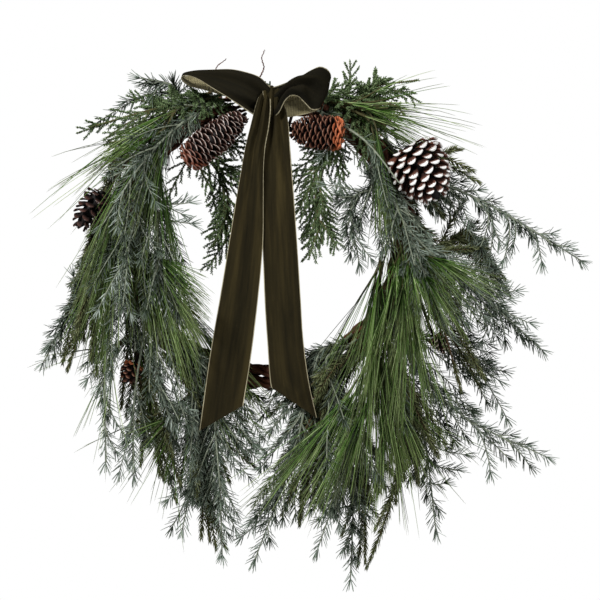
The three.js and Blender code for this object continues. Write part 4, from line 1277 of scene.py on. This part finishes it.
selvage, start, shader = new_finish("ribbon_selvage", Specular_IOR_Level=0.3)
place, along, across = on_map(start)
cord = (along * 900).math("SINE", along * 900)
colour = place.stretched(60, 8, 1).noise(1.0, 2).ramp(
    (0.3, srgb(112, 104, 80)), (0.7, srgb(168, 160, 132)))
feed(shader, colour, 0.8 + 0.05 * cord, cord, 0.0003)


def add_ribbon(soup, edges, folds, strip, steps, face_out):
    """A run of ribbon through its listed rows, on a strip of the finish's map, with so many steps
    between rows. face_out is 1 or -1, by which of its two sides is the velvet one."""
    line_a = smooth_line([seen_at(*row[:3]) for row in edges], steps)
    line_b = smooth_line([seen_at(*row[3:]) for row in edges], steps)
    rows = len(line_a)
    listed = np.linspace(0, 1, len(edges))
    along_run = np.linspace(0, 1, rows)
    depth, number, phase = (np.interp(along_run, listed, values)[:, None] for values in zip(*folds))
    inner = np.linspace(SELVAGE, 1 - SELVAGE, RIBBON_COLUMNS - 4)
    share = np.concatenate([[0, SELVAGE / 2], inner, [1 - SELVAGE / 2, 1]])[None]
    chord = line_b - line_a
    along = tangents((line_a + line_b) / 2)
    normal = unit(np.cross(chord, along))[:, None]
    wave = (np.cos(2 * np.pi * (number * share + phase)) - np.cos(2 * np.pi * phase) * (1 - share)
            - np.cos(2 * np.pi * (number + phase)) * share)
    surface = line_a[:, None] + chord[:, None] * share[..., None]
    surface = surface + normal * (depth * MM * wave)[..., None]
    down = np.gradient(surface, axis=0)
    over = np.gradient(surface, axis=1)
    facing = unit(np.cross(over, down))
    half = RIBBON_THICK / 2 * np.where((share < SELVAGE) | (share > 1 - SELVAGE), 0.9, 1.0)[..., None]
    front, back = surface + face_out * facing * half, surface - face_out * facing * half
    on_strip = strip[0] + (strip[1] - strip[0]) * along_run[:, None]
    places = np.stack(np.broadcast_arrays(on_strip, share), -1)
    faces = grid_faces(rows, RIBBON_COLUMNS, False)
    column = np.tile(np.repeat(np.arange(RIBBON_COLUMNS - 1), 2), rows - 1)
    at_edge = (column < 2) | (column >= RIBBON_COLUMNS - 3)
    flip = faces[:, ::-1]
    soup.add(front, flip if face_out > 0 else faces, places, np.where(at_edge, EDGE, VELVET))
    soup.add(back, faces if face_out > 0 else flip, places, np.where(at_edge, EDGE, REVERSE))
    for column in (0, RIBBON_COLUMNS - 1):
        rim = np.stack([front[:, column], back[:, column]], 1)
        soup.add(rim, grid_faces(rows, 2, False), places[:, [column, column]], EDGE)
    for row in (0, rows - 1):
        rim = np.stack([front[row], back[row]], 1)
        soup.add(rim, grid_faces(RIBBON_COLUMNS, 2, False), places[row][:, None].repeat(2, 1), REVERSE)


soup = Soup()
add_ribbon(soup, LEFT_TAIL, LEFT_TAIL_FOLDS, (0.0, 0.3), 10, face_out=-1)
add_ribbon(soup, RIGHT_TAIL, RIGHT_TAIL_FOLDS, (0.32, 0.6), 10, face_out=-1)
add_ribbon(soup, LEFT_LOOP, LEFT_LOOP_FOLDS, (0.62, 0.8), 8, face_out=-1)
add_ribbon(soup, RIGHT_LOOP, RIGHT_LOOP_FOLDS, (0.81, 0.98), 8, face_out=1)
add_ribbon(soup, KNOT, KNOT_FOLDS, (0.3, 0.34), 8, face_out=-1)
ribbon = soup.piece("velvet_ribbon", [velvet, reverse, selvage])


# ---- Studio ---------------------------------------------------------------------------------
# A plain pale floor well below, a white surround and two soft lights, the stronger from the left.
FLOOR_DROP = 1.5
FLOOR_RADIUS = 5
FLOOR_SIDES = 96
AMBIENT = 0.1

bpy.context.scene.view_settings.view_transform = "Standard"
world = bpy.data.worlds.new("studio")
bpy.context.scene.world = world
world.use_nodes = True
backdrop = world.node_tree.nodes["Background"]
backdrop.inputs["Color"].default_value = (1, 1, 1, 1)
start = Signal(world.node_tree)
seen = start.node("LightPath", output="Is Camera Ray")
brightness = AMBIENT + (1 - AMBIENT) * seen
world.node_tree.links.new(brightness.socket, backdrop.inputs["Strength"])

pale, start, shader = new_finish("pale_floor", Roughness=0.9)
place = start.node("TexCoord", output="Object")
grain = place.noise(60, 3)
colour = grain.ramp((0, srgb(226, 226, 224)), (1, srgb(240, 240, 238)))
feed(shader, colour, 0.8 + 0.1 * grain, grain, 0.0002)
turn = np.linspace(0, 2 * np.pi, FLOOR_SIDES, endpoint=False)
rim = np.stack([FLOOR_RADIUS * np.cos(turn), FLOOR_RADIUS * np.sin(turn),
                np.full(FLOOR_SIDES, -FLOOR_DROP)], -1)
disc = bpy.data.meshes.new("floor")
disc.from_pydata(rim.tolist(), [], [list(range(FLOOR_SIDES))])
disc.materials.append(pale)
floor = bpy.data.objects.new("floor", disc)
bpy.context.scene.collection.objects.link(floor)


def soft_light(name, place, size, power):
    """A square soft light that faces the middle of the wreath."""
    data = bpy.data.lights.new(name, "AREA")
    data.size, data.energy = size, power
    lamp = bpy.data.objects.new(name, data)
    bpy.context.scene.collection.objects.link(lamp)
    lamp.location = place
    middle = (cad_low + cad_high) / 2
    lamp.rotation_euler = (middle - lamp.location).to_track_quat("-Z", "Y").to_euler()


soft_light("key", (-1.3, -2.2, 1.7), 0.5, 118)
soft_light("fill", (1.8, -2.2, 0.2), 0.8, 36)
